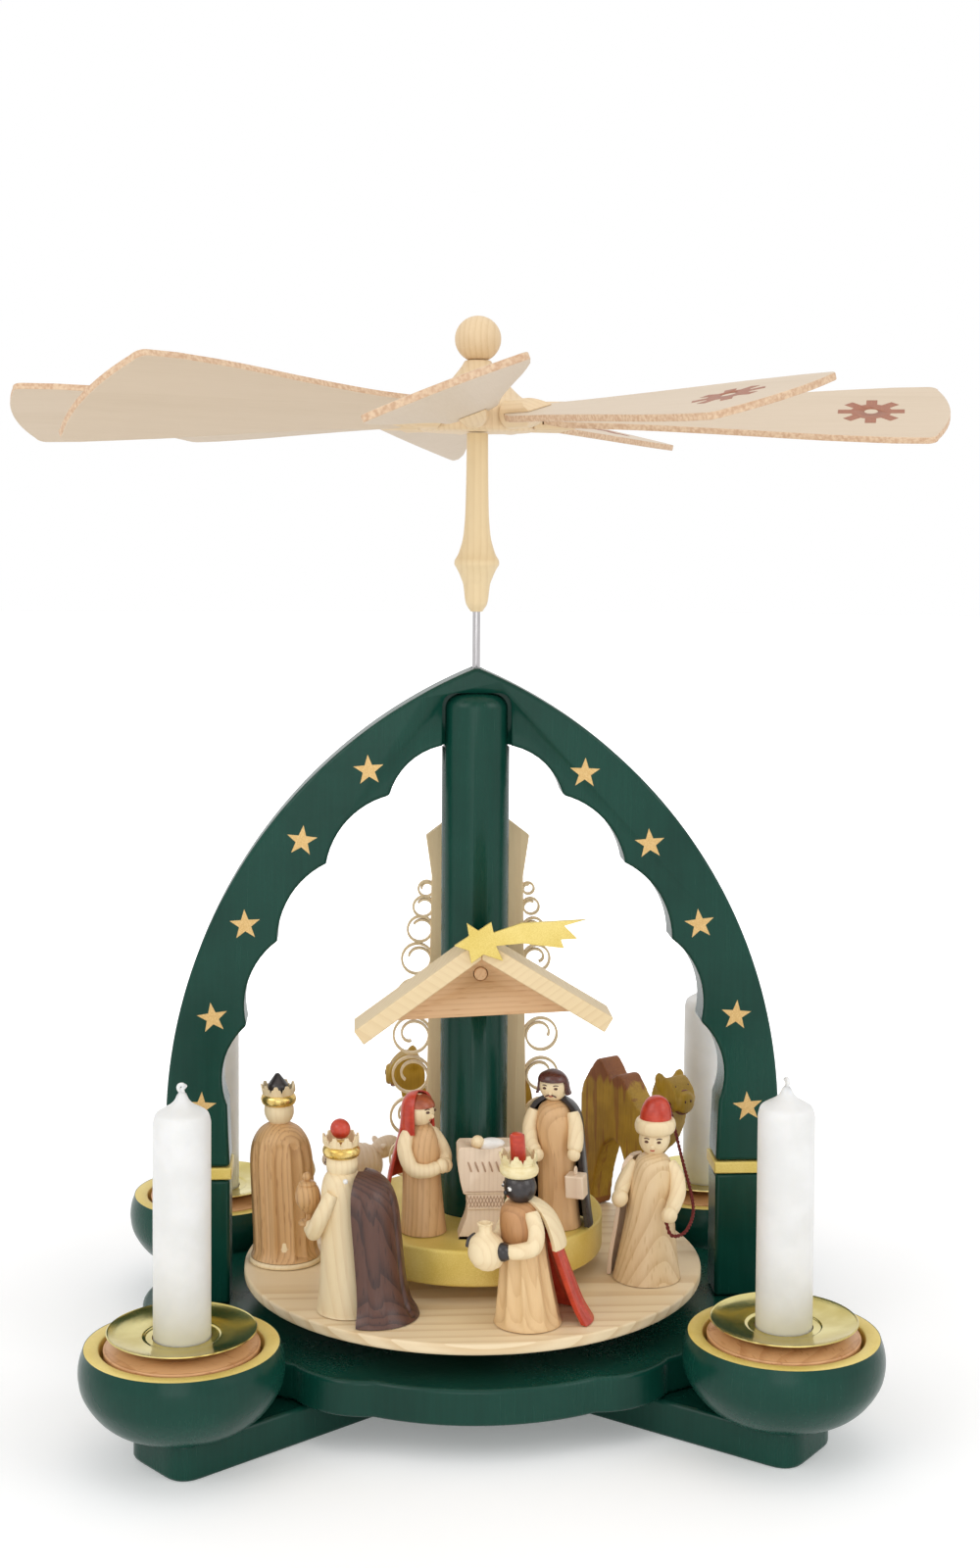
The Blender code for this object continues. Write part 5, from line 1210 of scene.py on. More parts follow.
def ball(name, radius, at=(0.0, 0.0, 0.0), tall=1.0, steps=24):
    """A turned ball, which may be taller or flatter than it is wide."""
    half = steps // 2
    angles = [TURN / 2 * step / half for step in range(half + 1)]
    profile = [(abs(radius * math.sin(angle)), -radius * tall * math.cos(angle)) for angle in angles]
    return put(turned(name, profile, steps), at=at)


def hoop(name, radius, thick, tall, low, rounds, steps):
    """A turned hoop with an oval section: its outer radius, its half width and height, and its foot."""
    angles = [TURN * step / rounds for step in range(rounds + 1)]
    section = [(radius - thick * (1 - math.cos(a)), low + tall * (1 + math.sin(a))) for a in angles]
    return turned(name, section, steps)


def shell(name, profile, wall, spread, steps=40, edge=0.0004):
    """A carved wall along (radius, height), swept round a figure's back by the spread in degrees each way."""
    outer = flowing(profile, 4)
    inner = []
    for number, (radius, height) in enumerate(outer):
        inner.append((max(radius - wall, JOINT_GAP), height - wall * 0.5 * (number / len(outer)) ** 3))
    piece = draw(name, [(radius, 0.0, height) for radius, height in outer + inner[::-1]])
    bpy.ops.mesh.edge_face_add()
    sweep = 2 * math.radians(spread)
    bpy.ops.mesh.spin(steps=steps, angle=sweep, center=(0.0, 0.0, 0.0), axis=(0.0, 0.0, 1.0))
    closed_up(piece)
    middle = sum((Vector(corner.co) for corner in piece.data.vertices), Vector())
    put(piece, TURN / 2 - math.atan2(middle.y, middle.x))
    if edge:
        rounded(piece, edge, 2, 60.0, 40.0)
    return piece


def gouged(piece, marks, low, high):
    """Draws the side in along upright gouge marks (direction in degrees, half width, depth share)."""
    levels = 8
    depths = np.zeros(len(piece.data.vertices))
    for number, corner in enumerate(piece.data.vertices):
        x, y, z = corner.co
        if not low < z < high or math.hypot(x, y) < 0.0005:
            continue
        run = min(1.0, (z - low) / 0.004, (high - z) / 0.0025)
        for direction, half_width, depth in marks:
            turn = math.atan2(y, x) - math.radians(direction)
            away = abs((turn + TURN / 2) % TURN - TURN / 2) / half_width
            if away < 1:
                depths[number] = max(depths[number], depth * math.sqrt(1 - away**2) * math.sqrt(run))
    deepest = max(depths.max(), JOINT_GAP)
    step_of = np.round(depths / deepest * levels).astype(int)
    for level in range(1, levels + 1):
        chosen = np.flatnonzero(step_of == level)
        if len(chosen):
            bpy.ops.object.mode_set(mode="EDIT")
            bpy.ops.mesh.select_mode(type="VERT")
            bpy.ops.mesh.select_all(action="DESELECT")
            bpy.ops.object.mode_set(mode="OBJECT")
            for number in chosen:
                piece.data.vertices[number].select = True
            bpy.ops.object.mode_set(mode="EDIT")
            share = 1 - deepest * level / levels
            bpy.ops.transform.resize(value=(share, share, 1.0), center_override=(0.0, 0.0, 0.0))
            bpy.ops.object.mode_set(mode="OBJECT")
    return piece


def robed(profile, height, marks=()):
    """A turned robe of (radius, share of the height), with gouged folds."""
    line = flowing([(radius, share * height) for radius, share in profile], 6)
    robe = turned("robe", [(0.0, 0.0), (line[0][0] - 0.0004, 0.0)] + line + [(0.0, line[-1][1])], 72)
    picked(robe)
    return gouged(robe, marks, 0.0012, height * 0.8) if marks else robe


def toothed(piece, middle, count, notch):
    """Files notches into a ring's rim, which lies above the middle, so that it has that many teeth."""
    for deep, drop in ((True, notch), (False, notch * 0.45)):
        picked(piece)
        for part in (*piece.data.polygons, *piece.data.edges):
            part.select = False
        for corner in piece.data.vertices:
            phase = abs((math.atan2(corner.co.y, corner.co.x) / TURN * count) % 1.0 - 0.5) * 2
            near = phase > 0.8 if deep else 0.3 < phase < 0.8
            corner.select = near and corner.co.z > middle + notch * 0.01
        bpy.ops.object.mode_set(mode="EDIT")
        bpy.ops.transform.translate(value=(0.0, 0.0, -drop))
        bpy.ops.object.mode_set(mode="OBJECT")
    return piece


def crowned(radius, low):
    """A crown whose foot is at the height low: a fat turned ring, and a ring of gouged teeth above it."""
    fat = radius * CROWN_RING
    ring = hoop("ring", radius, fat, fat * 1.22, low, 16, 48)
    base, tip = low + fat * 1.8, low + fat * 1.8 + radius * 0.72
    wall = [(0.70, base), (0.81, base), (0.97, tip), (0.88, tip), (0.70, base)]
    teeth = turned("teeth", [(radius * share, height) for share, height in wall], 72, 25.0)
    return ring, toothed(teeth, (base + tip) / 2, CROWN_TEETH, radius * 0.42)


def faced(radius, level):
    """A ball head that faces +X, with a small nose, its painted eyes and brows, and its mouth."""
    def on_face(places, proud):
        """Points on the head at (aside, up), in shares of its radius, a little proud of it."""
        return [
            (radius * (math.sqrt(1 - y**2 - z**2) + proud), y * radius, level + z * radius)
            for y, z in places
        ]

    nose = ball("nose", radius * EYE_SIZE, (radius * 0.97, 0.0, level - radius * NOSE_DROP), 1.1, 12)
    head = joined("head", ball("head", radius, (0.0, 0.0, level), 1.04, 32), nose)
    dark = []
    for side in (-1, 1):
        aside, up = side * EYE_ASIDE * radius, EYE_UP * radius
        ahead = math.sqrt(radius**2 - aside**2 - up**2)
        eye = ball("eye", radius * EYE_SIZE, tall=0.62, steps=12)
        dark.append(put(eye, at=(ahead * 0.985, aside * 0.985, level + up)))
        brow = [(side * (EYE_ASIDE + step), BROW_UP - 1.2 * step**2) for step in (-0.18, 0.0, 0.18)]
        dark.append(strand("brow", on_face(brow, 0.014), radius * 0.034, 6, 0.5))
    mouth = [(step, 1.3 * step**2 - MOUTH_DROP) for step in (-0.15, 0.0, 0.15)]
    return head, joined("eyes", *dark), strand("lips", on_face(mouth, 0.004), radius * 0.05, 6, 0.5)


def armed(routes, radius, hands, *more):
    """Bent sleeves along (x, y, z, share of the radius) in millimetres, and the ball hands at their ends."""
    sleeves, balls = [], []
    for route, hand in zip(routes, hands):
        run = [(x / 1000, y / 1000, z / 1000, share) for x, y, z, share in route]
        sleeves.append(strand("sleeve", run, radius, 20, CUFF))
        end, before = Vector(run[-1][:3]), Vector(run[-2][:3])
        balls.append(ball("hand", hand, end + (end - before).normalized() * hand * 0.55, 1.08, 20))
    return joined("sleeves", *sleeves), joined("hands", *balls, *more)


def leaned(piece, lean, ahead=0.0):
    """Leans the piece by shares (x, y) of its height, and moves it ahead."""
    rows = (
        (1.0, 0.0, lean[0], ahead), (0.0, 1.0, lean[1], 0.0), (0.0, 0.0, 1.0, 0.0), (0.0, 0.0, 0.0, 1.0),
    )
    piece.data.transform(Matrix(rows))
    return piece


def stood(node, parts, lean=(0.0, 0.0)):
    """Stands a figure's parts, made facing +X, on its place, leaning by shares of the height."""
    body, spot, facing = PLACES[node]
    for number, (piece, finish) in enumerate(parts):
        if finish.name.endswith("wood") and "grain" not in piece.data.attributes:
            grained(piece, "Z", (0.006 + 0.011 * (number % 3), 0.004 + 0.007 * (number % 4)), 0.1 * number)
        put(leaned(piece, lean), math.radians(facing), at=spot)
        piece.name = f"{node}_{piece.name.split('.')[0]}_{number}"
        dressed(piece, finish, body, SLOTS[finish.name], *([node] if number == 0 else []))


def painted(name, pale, deep, roughness=0.34):
    """Silk paint over turned wood: a little cloudy, with the wood's turning marks under it."""
    finish, shader, place = new_finish(name, roughness, coat=0.1)
    cloud = place.noise(260.0, 3.0)
    marks = place.stretched((0.3, 0.3, 1.0)).noise(1800.0, 2.0)
    feed(
        shader,
        Base_Color=(cloud * 0.7 + marks * 0.3).between(0.28, 0.72).mixed(pale, deep),
        Roughness=cloud * 0.14 + marks * 0.06 + (roughness - 0.1),
        Normal=bumped(cloud * 0.4 + marks * 0.6, 0.00003),
    )
    return finish


maplewood = timber("maplewood", (colour(240, 220, 180), colour(216, 184, 138)), 0.0016, 0.22, 0.28)
oakwood = timber("oakwood", (colour(214, 172, 120), colour(168, 122, 76)), 0.0014, 0.36, 0.36, 0.35)
dark_walnutwood = timber(
    "dark_walnutwood", (colour(92, 59, 47), colour(50, 31, 27)), 0.0013, 0.45, 0.40, 0.3, 0.36,
)
walnutwood = timber("walnutwood", (colour(196, 146, 98), colour(152, 104, 62)), 0.0015, 0.30, 0.35, 0.2)
tanwood = timber("tanwood", (colour(228, 194, 144), colour(198, 156, 106)), 0.0016, 0.28, 0.34)
red_paint = painted("red_paint", colour(204, 70, 44), colour(172, 44, 26))
black_paint = painted("black_paint", colour(58, 52, 52), colour(34, 30, 30), 0.3)
brown_paint = painted("brown_paint", colour(96, 52, 30), colour(66, 34, 22))
lip_paint = painted("lip_paint", colour(196, 84, 70), colour(170, 62, 54))
white_paint = painted("white_paint", colour(244, 242, 238), colour(226, 224, 220))
pale_gold = painted("pale_gold", colour(244, 232, 190), colour(226, 206, 150))
crown_gold, gold_shader, place = new_finish("crown_gold", 0.26, 0.82)
cloud = place.noise(240.0, 3.0)
feed(
    gold_shader,
    Base_Color=cloud.between(0.3, 0.7).mixed(colour(240, 214, 140), colour(206, 170, 88)),
    Roughness=cloud * 0.16 + 0.18,
    Normal=bumped(place.stretched((0.3, 0.3, 1.0)).noise(1800.0, 2.0), 0.00003),
)

FACE = (maplewood, brown_paint, lip_paint)
CROWN = (crown_gold, maplewood)
ARMS = (maplewood, maplewood)
HEAD = 0.0049

# King with the oak cloak, seen from behind: the cloak is a closed dome with a gouged arch and a pale hem.
# He carries a dark chest on both hands.
OAK_CLOAK = mm(
    (11.3, 1.6), (10.5, 4.5), (10.3, 12.0), (10.3, 28.0), (10.1, 34.5), (9.0, 39.5), (6.6, 43.2),
    (3.0, 45.5),
)
OAK_FOLDS = [(186.0, 0.28, 0.15)] + [(angle, 0.17, 0.10) for angle in (106, 130, 154, 216, 240, 264)]
OAK_HEM = mm((11.9, 0.0), (12.1, 0.5), (11.9, 1.1), (11.5, 1.5))
CONE = mm((0.0, 54.0), (3.3, 54.0), (3.3, 57.8), (3.0, 58.2), (0.7, 61.3), (0.0, 61.6))
CHEST_LID = mm((0.0, -3.6), (2.3, -3.6), (2.6, -3.2), (2.6, 3.2), (2.3, 3.6), (0.0, 3.6))
cloak = gouged(shell("cloak", OAK_CLOAK, 0.0024, 112.0, 76), OAK_FOLDS, 0.002, 0.0405)
hem = shell("hem", OAK_HEM, 0.0022, 113.0, 40, 0.0)
arms = armed([
    [(0.0, s * 6.2, 38.0, 0.9), (4.5, s * 8.2, 28.0, 1.0), (8.2, s * 4.6, 25.6, 1.0),
     (9.9, s * 2.6, 24.4, 0.9)]
    for s in (-1, 1)
], 0.0023, (0.0024, 0.0024))
box = block("chest", (0.0098, -0.0034, 0.0215), (0.0152, 0.0034, 0.0262), 0.0006)
lid = put(turned("lid", CHEST_LID, 24), TURN / 4, "X", (0.0125, 0.0, 0.0262))
stood("king_left", [
    (robed(ROBE, ROBE_HEIGHT), maplewood), (cloak, oakwood), (hem, maplewood),
    *zip(faced(HEAD, 0.0492), FACE),
    *zip(crowned(0.0058, 0.0511), CROWN), (turned("cone", CONE, 32), black_paint), *zip(arms, ARMS),
    (joined("chest", box, lid), dark_walnutwood),
], (0.0, 0.046))

# King with the dark walnut cloak: it stands off his back, split down the middle. He holds a lidded goblet.
WALNUT_CLOAK = mm(
    (14.0, 0.0), (13.4, 1.6), (11.8, 5.0), (10.8, 12.0), (10.6, 24.0), (10.4, 33.0), (8.8, 39.0),
    (5.6, 42.5), (2.2, 44.0)
)
WALNUT_FOLDS = [(180.0, 0.07, 0.10), (126.0, 0.2, 0.06), (234.0, 0.2, 0.06)]
GOBLET_FOOT = mm((0.0, 25.2), (3.3, 25.2), (3.4, 25.6), (3.0, 26.1), (0.9, 26.6))
GOBLET_CUP = mm((0.9, 28.4), (2.2, 29.6), (3.7, 32.0), (3.9, 34.4), (3.3, 36.6), (2.6, 37.4))
GOBLET_LID = mm((2.8, 37.7), (2.2, 38.4), (0.8, 38.8), (0.0, 38.8))
cloak = gouged(shell("cloak", WALNUT_CLOAK, 0.0026, 84.0, 64), WALNUT_FOLDS, 0.001, 0.039)
leaned(cloak, (0.105, 0.0), -0.0088)
arms = armed((
    [(0.0, 6.4, 37.5, 0.9), (3.6, 8.2, 30.0, 1.0), (7.4, 6.4, 24.6, 1.0), (9.2, 4.2, 24.4, 0.8)],
    [(0.0, -6.4, 37.5, 0.9), (4.2, -8.2, 29.0, 1.0), (8.0, -4.4, 25.6, 1.0), (9.2, -2.4, 25.0, 0.8)],
), 0.0025, (0.0025, 0.0025))
goblet = turned("goblet", GOBLET_FOOT + flowing(GOBLET_CUP, 4) + GOBLET_LID, 40)
goblet = put(joined("goblet", goblet, ball("knob", 0.0014, (0.0, 0.0, 0.0399))), at=(0.0118, 0.0018, 0.0))
stood("king_front_left", [
    (robed(ROBE, ROBE_HEIGHT), maplewood), *zip(faced(HEAD, 0.0453), FACE),
    *zip(crowned(0.0058, 0.0474), CROWN),
    (ball("knob", 0.0031, (0.0, 0.0, 0.0560)), red_paint), *zip(arms, ARMS), (goblet, oakwood),
    (ball("pearl", 0.0008, (-0.0044, 0.0058, 0.0418)), white_paint),
], (0.044, 0.025))
stood("king_front_left", [(cloak, dark_walnutwood)])

# King with the black head: a walnut body, a fluted skirt, a short cape and a fluted red train. He brings a
# jug.
SKIRT = mm((10.4, 0.0), (10.3, 0.6), (9.4, 6.0), (8.2, 14.0), (7.4, 21.0), (7.1, 25.2))
SKIRT_FLUTES = [(36.0 * number + 8.0, 0.24, 0.13) for number in range(10)]
CHEST = mm((6.6, 25.6), (6.8, 30.0), (6.2, 34.5), (4.0, 36.8), (1.8, 37.2))
TRAIN = mm((12.8, 0.0), (12.4, 1.2), (11.0, 6.0), (10.0, 14.0), (9.2, 22.0), (8.6, 26.2))
TRAIN_FLUTES = [(180.0 + 24.0 * number, 0.13, 0.05) for number in range(-2, 3)]
CAPE = mm((10.6, 23.6), (10.8, 25.0), (10.4, 29.0), (9.0, 33.5), (6.0, 36.8), (2.8, 38.2))
HAT = mm((2.3, 46.0), (2.3, 56.2), (2.1, 57.0), (1.5, 57.7), (0.4, 57.9))
JUG_FOOT = mm((0.0, -5.4), (2.4, -5.4), (2.6, -5.1))
JUG_BELLY = mm(
    (4.0, -4.4), (5.5, -1.8), (5.6, 0.6), (4.8, 3.4), (2.8, 5.2), (2.1, 6.0), (2.1, 7.6), (2.5, 8.4),
)
JUG_MOUTH = mm((2.0, 8.6), (1.5, 8.0), (1.5, 6.2), (0.0, 5.8))
skirt = turned("skirt", mm((0.0, 0.0), (9.9, 0.0)) + flowing(SKIRT, 5) + mm((0.0, 25.4)), 80)
skirt = gouged(skirt, SKIRT_FLUTES, 0.0008, 0.0262)
body = turned("body", mm((0.0, 25.6)) + flowing(CHEST, 5) + mm((0.0, 37.2)), 48)
train = gouged(shell("train", TRAIN, 0.0020, 62.0, 60), TRAIN_FLUTES, 0.0004, 0.0262)
leaned(train, (0.22, 0.0), -0.0082)
cape = leaned(shell("cape", CAPE, 0.0016, 72.0, 48), (0.17, 0.0), -0.0068)
head, eyes, lips = faced(0.0050, 0.0416)
whites = [ball("white", 0.0009, (0.0042, side * 0.0020, 0.0417), 0.8, 12) for side in (-1, 1)]
hat = turned("hat", mm((0.0, 46.0)) + flowing(HAT, 4) + mm((0.0, 57.9)), 32)
thumb = strand("thumb", mm((15.0, -1.2, 28.5), (17.2, -1.0, 27.2), (18.3, -0.4, 25.0)), 0.0006, 8, 0.7)
arms = armed((
    [(-0.4, 6.6, 35.4, 0.9), (-0.6, 9.0, 30.0, 1.0), (1.0, 9.6, 25.8, 1.0), (5.0, 8.2, 24.6, 0.95),
     (8.0, 6.6, 24.4, 0.85)],
    [(-0.4, -6.6, 35.4, 0.9), (1.2, -8.4, 29.0, 1.0), (4.6, -6.6, 24.8, 1.0), (8.0, -4.2, 24.0, 0.85)],
), 0.0025, (0.0026, 0.0026), thumb)
jug = put(turned("jug", JUG_FOOT + flowing(JUG_BELLY, 5) + JUG_MOUTH, 48), at=(0.0128, 0.0016, 0.0238))
stood("king_front", [
    (skirt, tanwood), (body, walnutwood), (train, red_paint), (cape, maplewood), (head, black_paint),
    (joined("whites", *whites), white_paint), (eyes, black_paint), (lips, lip_paint),
    *zip(crowned(0.0060, 0.0448), (pale_gold, pale_gold)), (hat, red_paint),
    *zip(arms, (maplewood, black_paint)), (jug, maplewood),
], (0.060, -0.022))

# The camel's attendant: an ash robe that flares at the hem, a carved strip of cloak at one side, a round
# red cap with a thick pale brim, and hanging sleeves with ball hands. The left hand holds the camel's lead.
ashrobewood = timber("ashrobewood", (colour(228, 202, 160), colour(196, 160, 112)), 0.0012, 0.35, 0.35, 0.3)
pearwood = timber("pearwood", (colour(230, 208, 182), colour(204, 174, 146)), 0.0014, 0.20, 0.30)
FLARED_ROBE = (
    (0.0110, 0.0), (0.0107, 0.02), (0.0092, 0.24), (0.0078, 0.50), (0.0070, 0.74), (0.0056, 0.93),
    (0.0024, 1.0)
)
CAP = mm((5.0, 49.0), (5.1, 51.5), (4.7, 54.5), (3.4, 57.2), (1.6, 58.4), (0.1, 58.6))
STRIP = mm((12.8, 0.0), (12.4, 6.0), (10.8, 16.0), (9.2, 28.0), (8.0, 36.0), (5.8, 39.2))
brim = hoop("brim", 0.0066, 0.0013, 0.0024, 0.0467, 20, 56)
dome = turned("dome", mm((0.0, 49.0)) + flowing(CAP, 5), 48)
strip = put(shell("strip", STRIP, 0.0014, 34.0, 30), math.radians(62.0))
arms = armed((
    [(-0.2, -5.4, 37.0, 0.9), (0.8, -7.6, 33.0, 1.0), (3.0, -9.0, 29.5, 1.0), (4.8, -9.2, 27.6, 0.9)],
    [(-0.2, 5.0, 37.0, 0.9), (0.8, 7.6, 33.6, 1.0), (3.2, 8.8, 29.2, 1.05), (6.2, 8.2, 26.0, 1.0),
     (8.9, 7.5, 24.2, 0.9)],
), 0.0025, (0.0027, 0.0026))
stood("attendant", [
    (robed(FLARED_ROBE, 0.0405), ashrobewood), *zip(faced(0.0050, 0.0447), FACE), (brim, maplewood),
    (dome, red_paint), *zip(arms, ARMS),
], (-0.013, 0.047))
stood("attendant", [(strip, pearwood)])

# Mary: a plain alder robe, pale sleeves with folded hands, brown hair on the forehead, and a red painted
# veil that is open in front and hangs to her waist behind.
alderwood = timber("alderwood", (colour(216, 176, 128), colour(176, 130, 84)), 0.0014, 0.30, 0.38, 0.2)
hair_paint = painted("hair_paint", colour(96, 50, 40), colour(62, 30, 26), 0.28)
fringe_paint = painted("fringe_paint", colour(176, 92, 56), colour(140, 66, 40))
# A darker pear paint for the crib's carved lines: painted shade standing in for the shade in the grooves.
crib_line = painted("crib_line", colour(186, 154, 126), colour(164, 130, 104))
MARY_ROBE = (
    (0.0074, 0.0), (0.0073, 0.02), (0.0067, 0.20), (0.0061, 0.50), (0.0058, 0.78), (0.0044, 0.94),
    (0.0020, 1.0)
)
FRINGE = mm((5.05, 40.2), (4.9, 40.9), (4.2, 42.1), (3.0, 43.1), (1.2, 43.9))
VEIL = mm((6.2, 32.0), (6.1, 35.0), (5.9, 39.0), (5.2, 41.8), (3.7, 43.8), (1.6, 44.7), (0.3, 44.9))
FALL = mm((11.2, 15.8), (10.3, 20.0), (8.6, 26.0), (7.0, 31.2), (6.3, 34.5), (6.1, 36.5))
fringe = put(shell("fringe", FRINGE, 0.0008, 68.0, 24, 0.0), TURN * 0.46)
veil = joined("veil", shell("veil", VEIL, 0.0009, 106.0, 72), shell("fall", FALL, 0.0009, 52.0, 40))
arms = armed((
    [(-1.6, -4.7, 32.4, 0.9), (-1.2, -7.4, 27.6, 1.05), (1.8, -8.0, 22.2, 1.05), (5.6, -5.2, 21.2, 0.95),
     (7.8, -1.8, 22.0, 0.9)],
    [(-1.0, 4.6, 32.4, 0.9), (1.4, 6.8, 28.6, 1.0), (4.8, 6.0, 24.6, 1.0), (7.6, 2.4, 22.4, 0.9)],
), 0.0023, (0.0022, 0.0022))
stood("mary", [
    (robed(MARY_ROBE, 0.0345), alderwood), *zip(faced(HEAD, 0.0388), FACE), (fringe, fringe_paint),
    (veil, red_paint), *zip(arms, ARMS),
], (-0.032, -0.022))

# Joseph: a streaked alder robe, wavy dark hair with a moustache, a black cloak round the back, and pale
# sleeves. A small carved lantern hangs from his left hand.
JOSEPH_ROBE = (
    (0.0070, 0.0), (0.0069, 0.02), (0.0064, 0.25), (0.0062, 0.55), (0.0064, 0.80), (0.0050, 0.94),
    (0.0022, 1.0)
)
JOSEPH_FOLDS = [(angle, 0.16, 0.03) for angle in (-50, -20, 15, 45)]
JOSEPH_HEAD, JOSEPH_UP = 0.0046, 0.0450
LIP_DROP = 0.0019
HAIR = mm((5.8, 42.8), (5.3, 44.2), (5.05, 46.2), (4.4, 48.0), (3.0, 49.5), (1.2, 50.3), (0.3, 50.4))
LOCK = mm((4.95, 47.0), (4.7, 48.0), (3.8, 49.2), (2.0, 50.1), (0.3, 50.4))
BLACK_CLOAK = mm((11.0, 0.6), (10.5, 6.0), (9.8, 18.0), (9.4, 30.0), (8.8, 35.8), (6.8, 39.5), (3.6, 41.8))
hair = shell("hair", HAIR, 0.0008, 116.0, 60)
lock = put(shell("lock", LOCK, 0.0008, 78.0, 36), TURN / 2)
moustache = strand("moustache", [
    (
        math.sqrt(JOSEPH_HEAD**2 - y**2 - LIP_DROP**2) + 0.0001, y,
        JOSEPH_UP - LIP_DROP - 4.0 * abs(y) ** 1.35,
    )
    for y in (-0.0019, -0.0010, 0.0, 0.0010, 0.0019)
], 0.00022, 8, 0.5)
cloak = shell("cloak", BLACK_CLOAK, 0.0017, 106.0, 60)
arms = armed((
    [(1.6, 6.4, 37.4, 0.85), (2.6, 7.4, 33.4, 1.0), (4.6, 7.8, 29.0, 1.05), (6.0, 7.6, 26.2, 1.0)],
    [(1.6, -6.2, 37.4, 0.85), (2.8, -7.6, 32.4, 1.0), (5.6, -6.8, 27.6, 1.0), (8.0, -4.6, 25.4, 0.9)],
), 0.0024, (0.0021, 0.0021))
lantern = block("lantern", (0.0046, 0.0052, 0.0120), (0.0106, 0.0112, 0.0192), 0.0005)
ring = put(hoop("ring", 0.0015, 0.0003, 0.0003, -0.0003, 10, 24), TURN / 4, "X", (0.0076, 0.0082, 0.0203))
stood("joseph", [
    (robed(JOSEPH_ROBE, 0.0405, JOSEPH_FOLDS), alderwood), *zip(faced(JOSEPH_HEAD, JOSEPH_UP), FACE),
    (joined("hair", hair, lock, moustache), hair_paint), (cloak, black_paint), *zip(arms, ARMS),
    (joined("lantern", lantern, ring), pearwood),
], (0.017, -0.046))

# The crib: a pear block sawn to a trough with a row of gouged strokes, on a narrower hatched block and a
# flared foot. The strokes, the hatching and a line along the trough's foot are thin strands a touch proud of
# the wood, in a darker pear paint that is painted shade for the grooves. The child's round head and swaddled
# body lie in its top.
TROUGH = mm((7.0, 14.2), (8.0, 18.0), (8.8, 22.5), (8.9, 28.2), (8.0, 29.3))
CRIB_FOOT = mm((8.4, 0.0, 0.5), (8.0, 1.6, 2.0), (6.0, 6.0, 2.0), (5.6, 9.6, 0.0))
STROKE = mm((-0.5, -5.4, 24.8), (0.1, -5.45, 23.2), (0.7, -5.4, 21.4))
EDGE_GROOVE_SHADE = mm((-6.8, -5.45, 15.2), (0.0, -5.5, 15.2), (6.8, -5.45, 15.2))
outline = eased([(x, z, 0.0006) for x, z in TROUGH] + [(-x, z, 0.0006) for x, z in reversed(TROUGH)])
trough = sawn("trough", [(x, -0.0054, z) for x, z in outline], (0.0, 0.0108, 0.0), 0.0005)
cut(trough, ball("hollow", 0.0068, (0.0, 0.0, 0.0300), 0.36, 32))
# The strokes, the hatching and the edge line are strands standing proud, not cut: their darker paint is
# painted shade.
strokes = [
    strand("stroke", [(place + x, y, z) for x, y, z in STROKE], 0.00028, 8, 0.3)
    for place in (-0.0052, -0.0030, -0.0008, 0.0014, 0.0036, 0.0058)
]
hay = block("hay", (-0.0058, -0.0050, 0.0092), (0.0058, 0.0050, 0.0145), 0.0004)
for step in range(-5, 6):
    for lean in (-0.0008, 0.0008):
        x = step * 0.00105 + lean * 0.2
        hatch = [(x - lean, -0.0050, 0.0138), (x, -0.00505, 0.0119), (x + lean, -0.0050, 0.0100)]
        strokes.append(strand("stroke", hatch, 0.00014, 6, 0.4))
strokes.append(strand("stroke", EDGE_GROOVE_SHADE, 0.00012, 6, 0.4))
outline = eased(CRIB_FOOT + [(-x, z, ease) for x, z, ease in reversed(CRIB_FOOT)])
stand = sawn("foot", [(x, -0.0044, z) for x, z in outline], (0.0, 0.0088, 0.0), 0.0004)
child = ball("child", 0.0021, (-0.0024, -0.0006, 0.0296))
swaddle = put(ball("swaddle", 0.0024, tall=1.9), TURN / 4, "Y", (0.0020, 0.0, 0.0284))
stood("crib", [
    (joined("trough", trough, hay, stand), pearwood), (joined("carving_shade", *strokes), crib_line),
    (child, maplewood), (swaddle, white_paint),
])

# The two camels: sawn from a thick board along one outline, with rounded edges, stained olive with brown
# humps and streaks. Ears, a muzzle with a painted bridle, eyes and hooves are added. The far one is a copy.
CAMEL_LENGTH = 0.0505
CAMEL_HEIGHT = 0.0545
CAMEL_THICKNESS = 0.0090
CAMEL_SHARES = (
    (-0.47, 0.00), (-0.34, 0.00), (-0.31, 0.22), (-0.22, 0.44), (-0.12, 0.50), (-0.04, 0.46), (0.02, 0.34),
    (0.05, 0.00), (0.16, 0.00), (0.17, 0.36), (0.25, 0.47), (0.37, 0.56), (0.44, 0.69), (0.46, 0.79),
    (0.53, 0.80), (0.54, 0.90), (0.48, 0.97), (0.42, 1.00), (0.38, 0.97), (0.33, 0.97), (0.28, 0.88),
    (0.29, 0.76), (0.20, 0.72), (0.10, 0.76), (0.01, 0.86), (-0.06, 0.93), (-0.15, 0.87), (-0.20, 0.92),
    (-0.28, 1.00), (-0.37, 0.90), (-0.46, 0.78), (-0.48, 0.62), (-0.44, 0.42), (-0.48, 0.20),
)
HOOF_EASE = 0.0008
EAR = mm((0.0, 0.0), (2.3, 0.0), (2.2, 1.6), (1.5, 4.8), (0.0, 6.2))
MUZZLE = mm((3.0, 0.0), (3.6, 1.2), (3.6, 2.2), (3.0, 3.0))
BRIDLE_PLACE = (0.0256, 0.0, 0.0463)
camelwood, camel_shader, _ = new_finish("camelwood", 0.5)
grain = Wire(camelwood.node_tree).node("ShaderNodeAttribute", {"attribute_name": "grain"}, out="Vector")
level, ahead = [grain.node("ShaderNodeSeparateXYZ", None, {0: grain}, out=axis) for axis in ("Z", "X")]
streak = grain.stretched((1.0, 1.0, 0.08)).noise(420.0, 3.0)
fibre = grain.stretched((1.0, 1.0, 0.05)).noise(2400.0, 3.0)
cloud = grain.noise(120.0, 2.0)
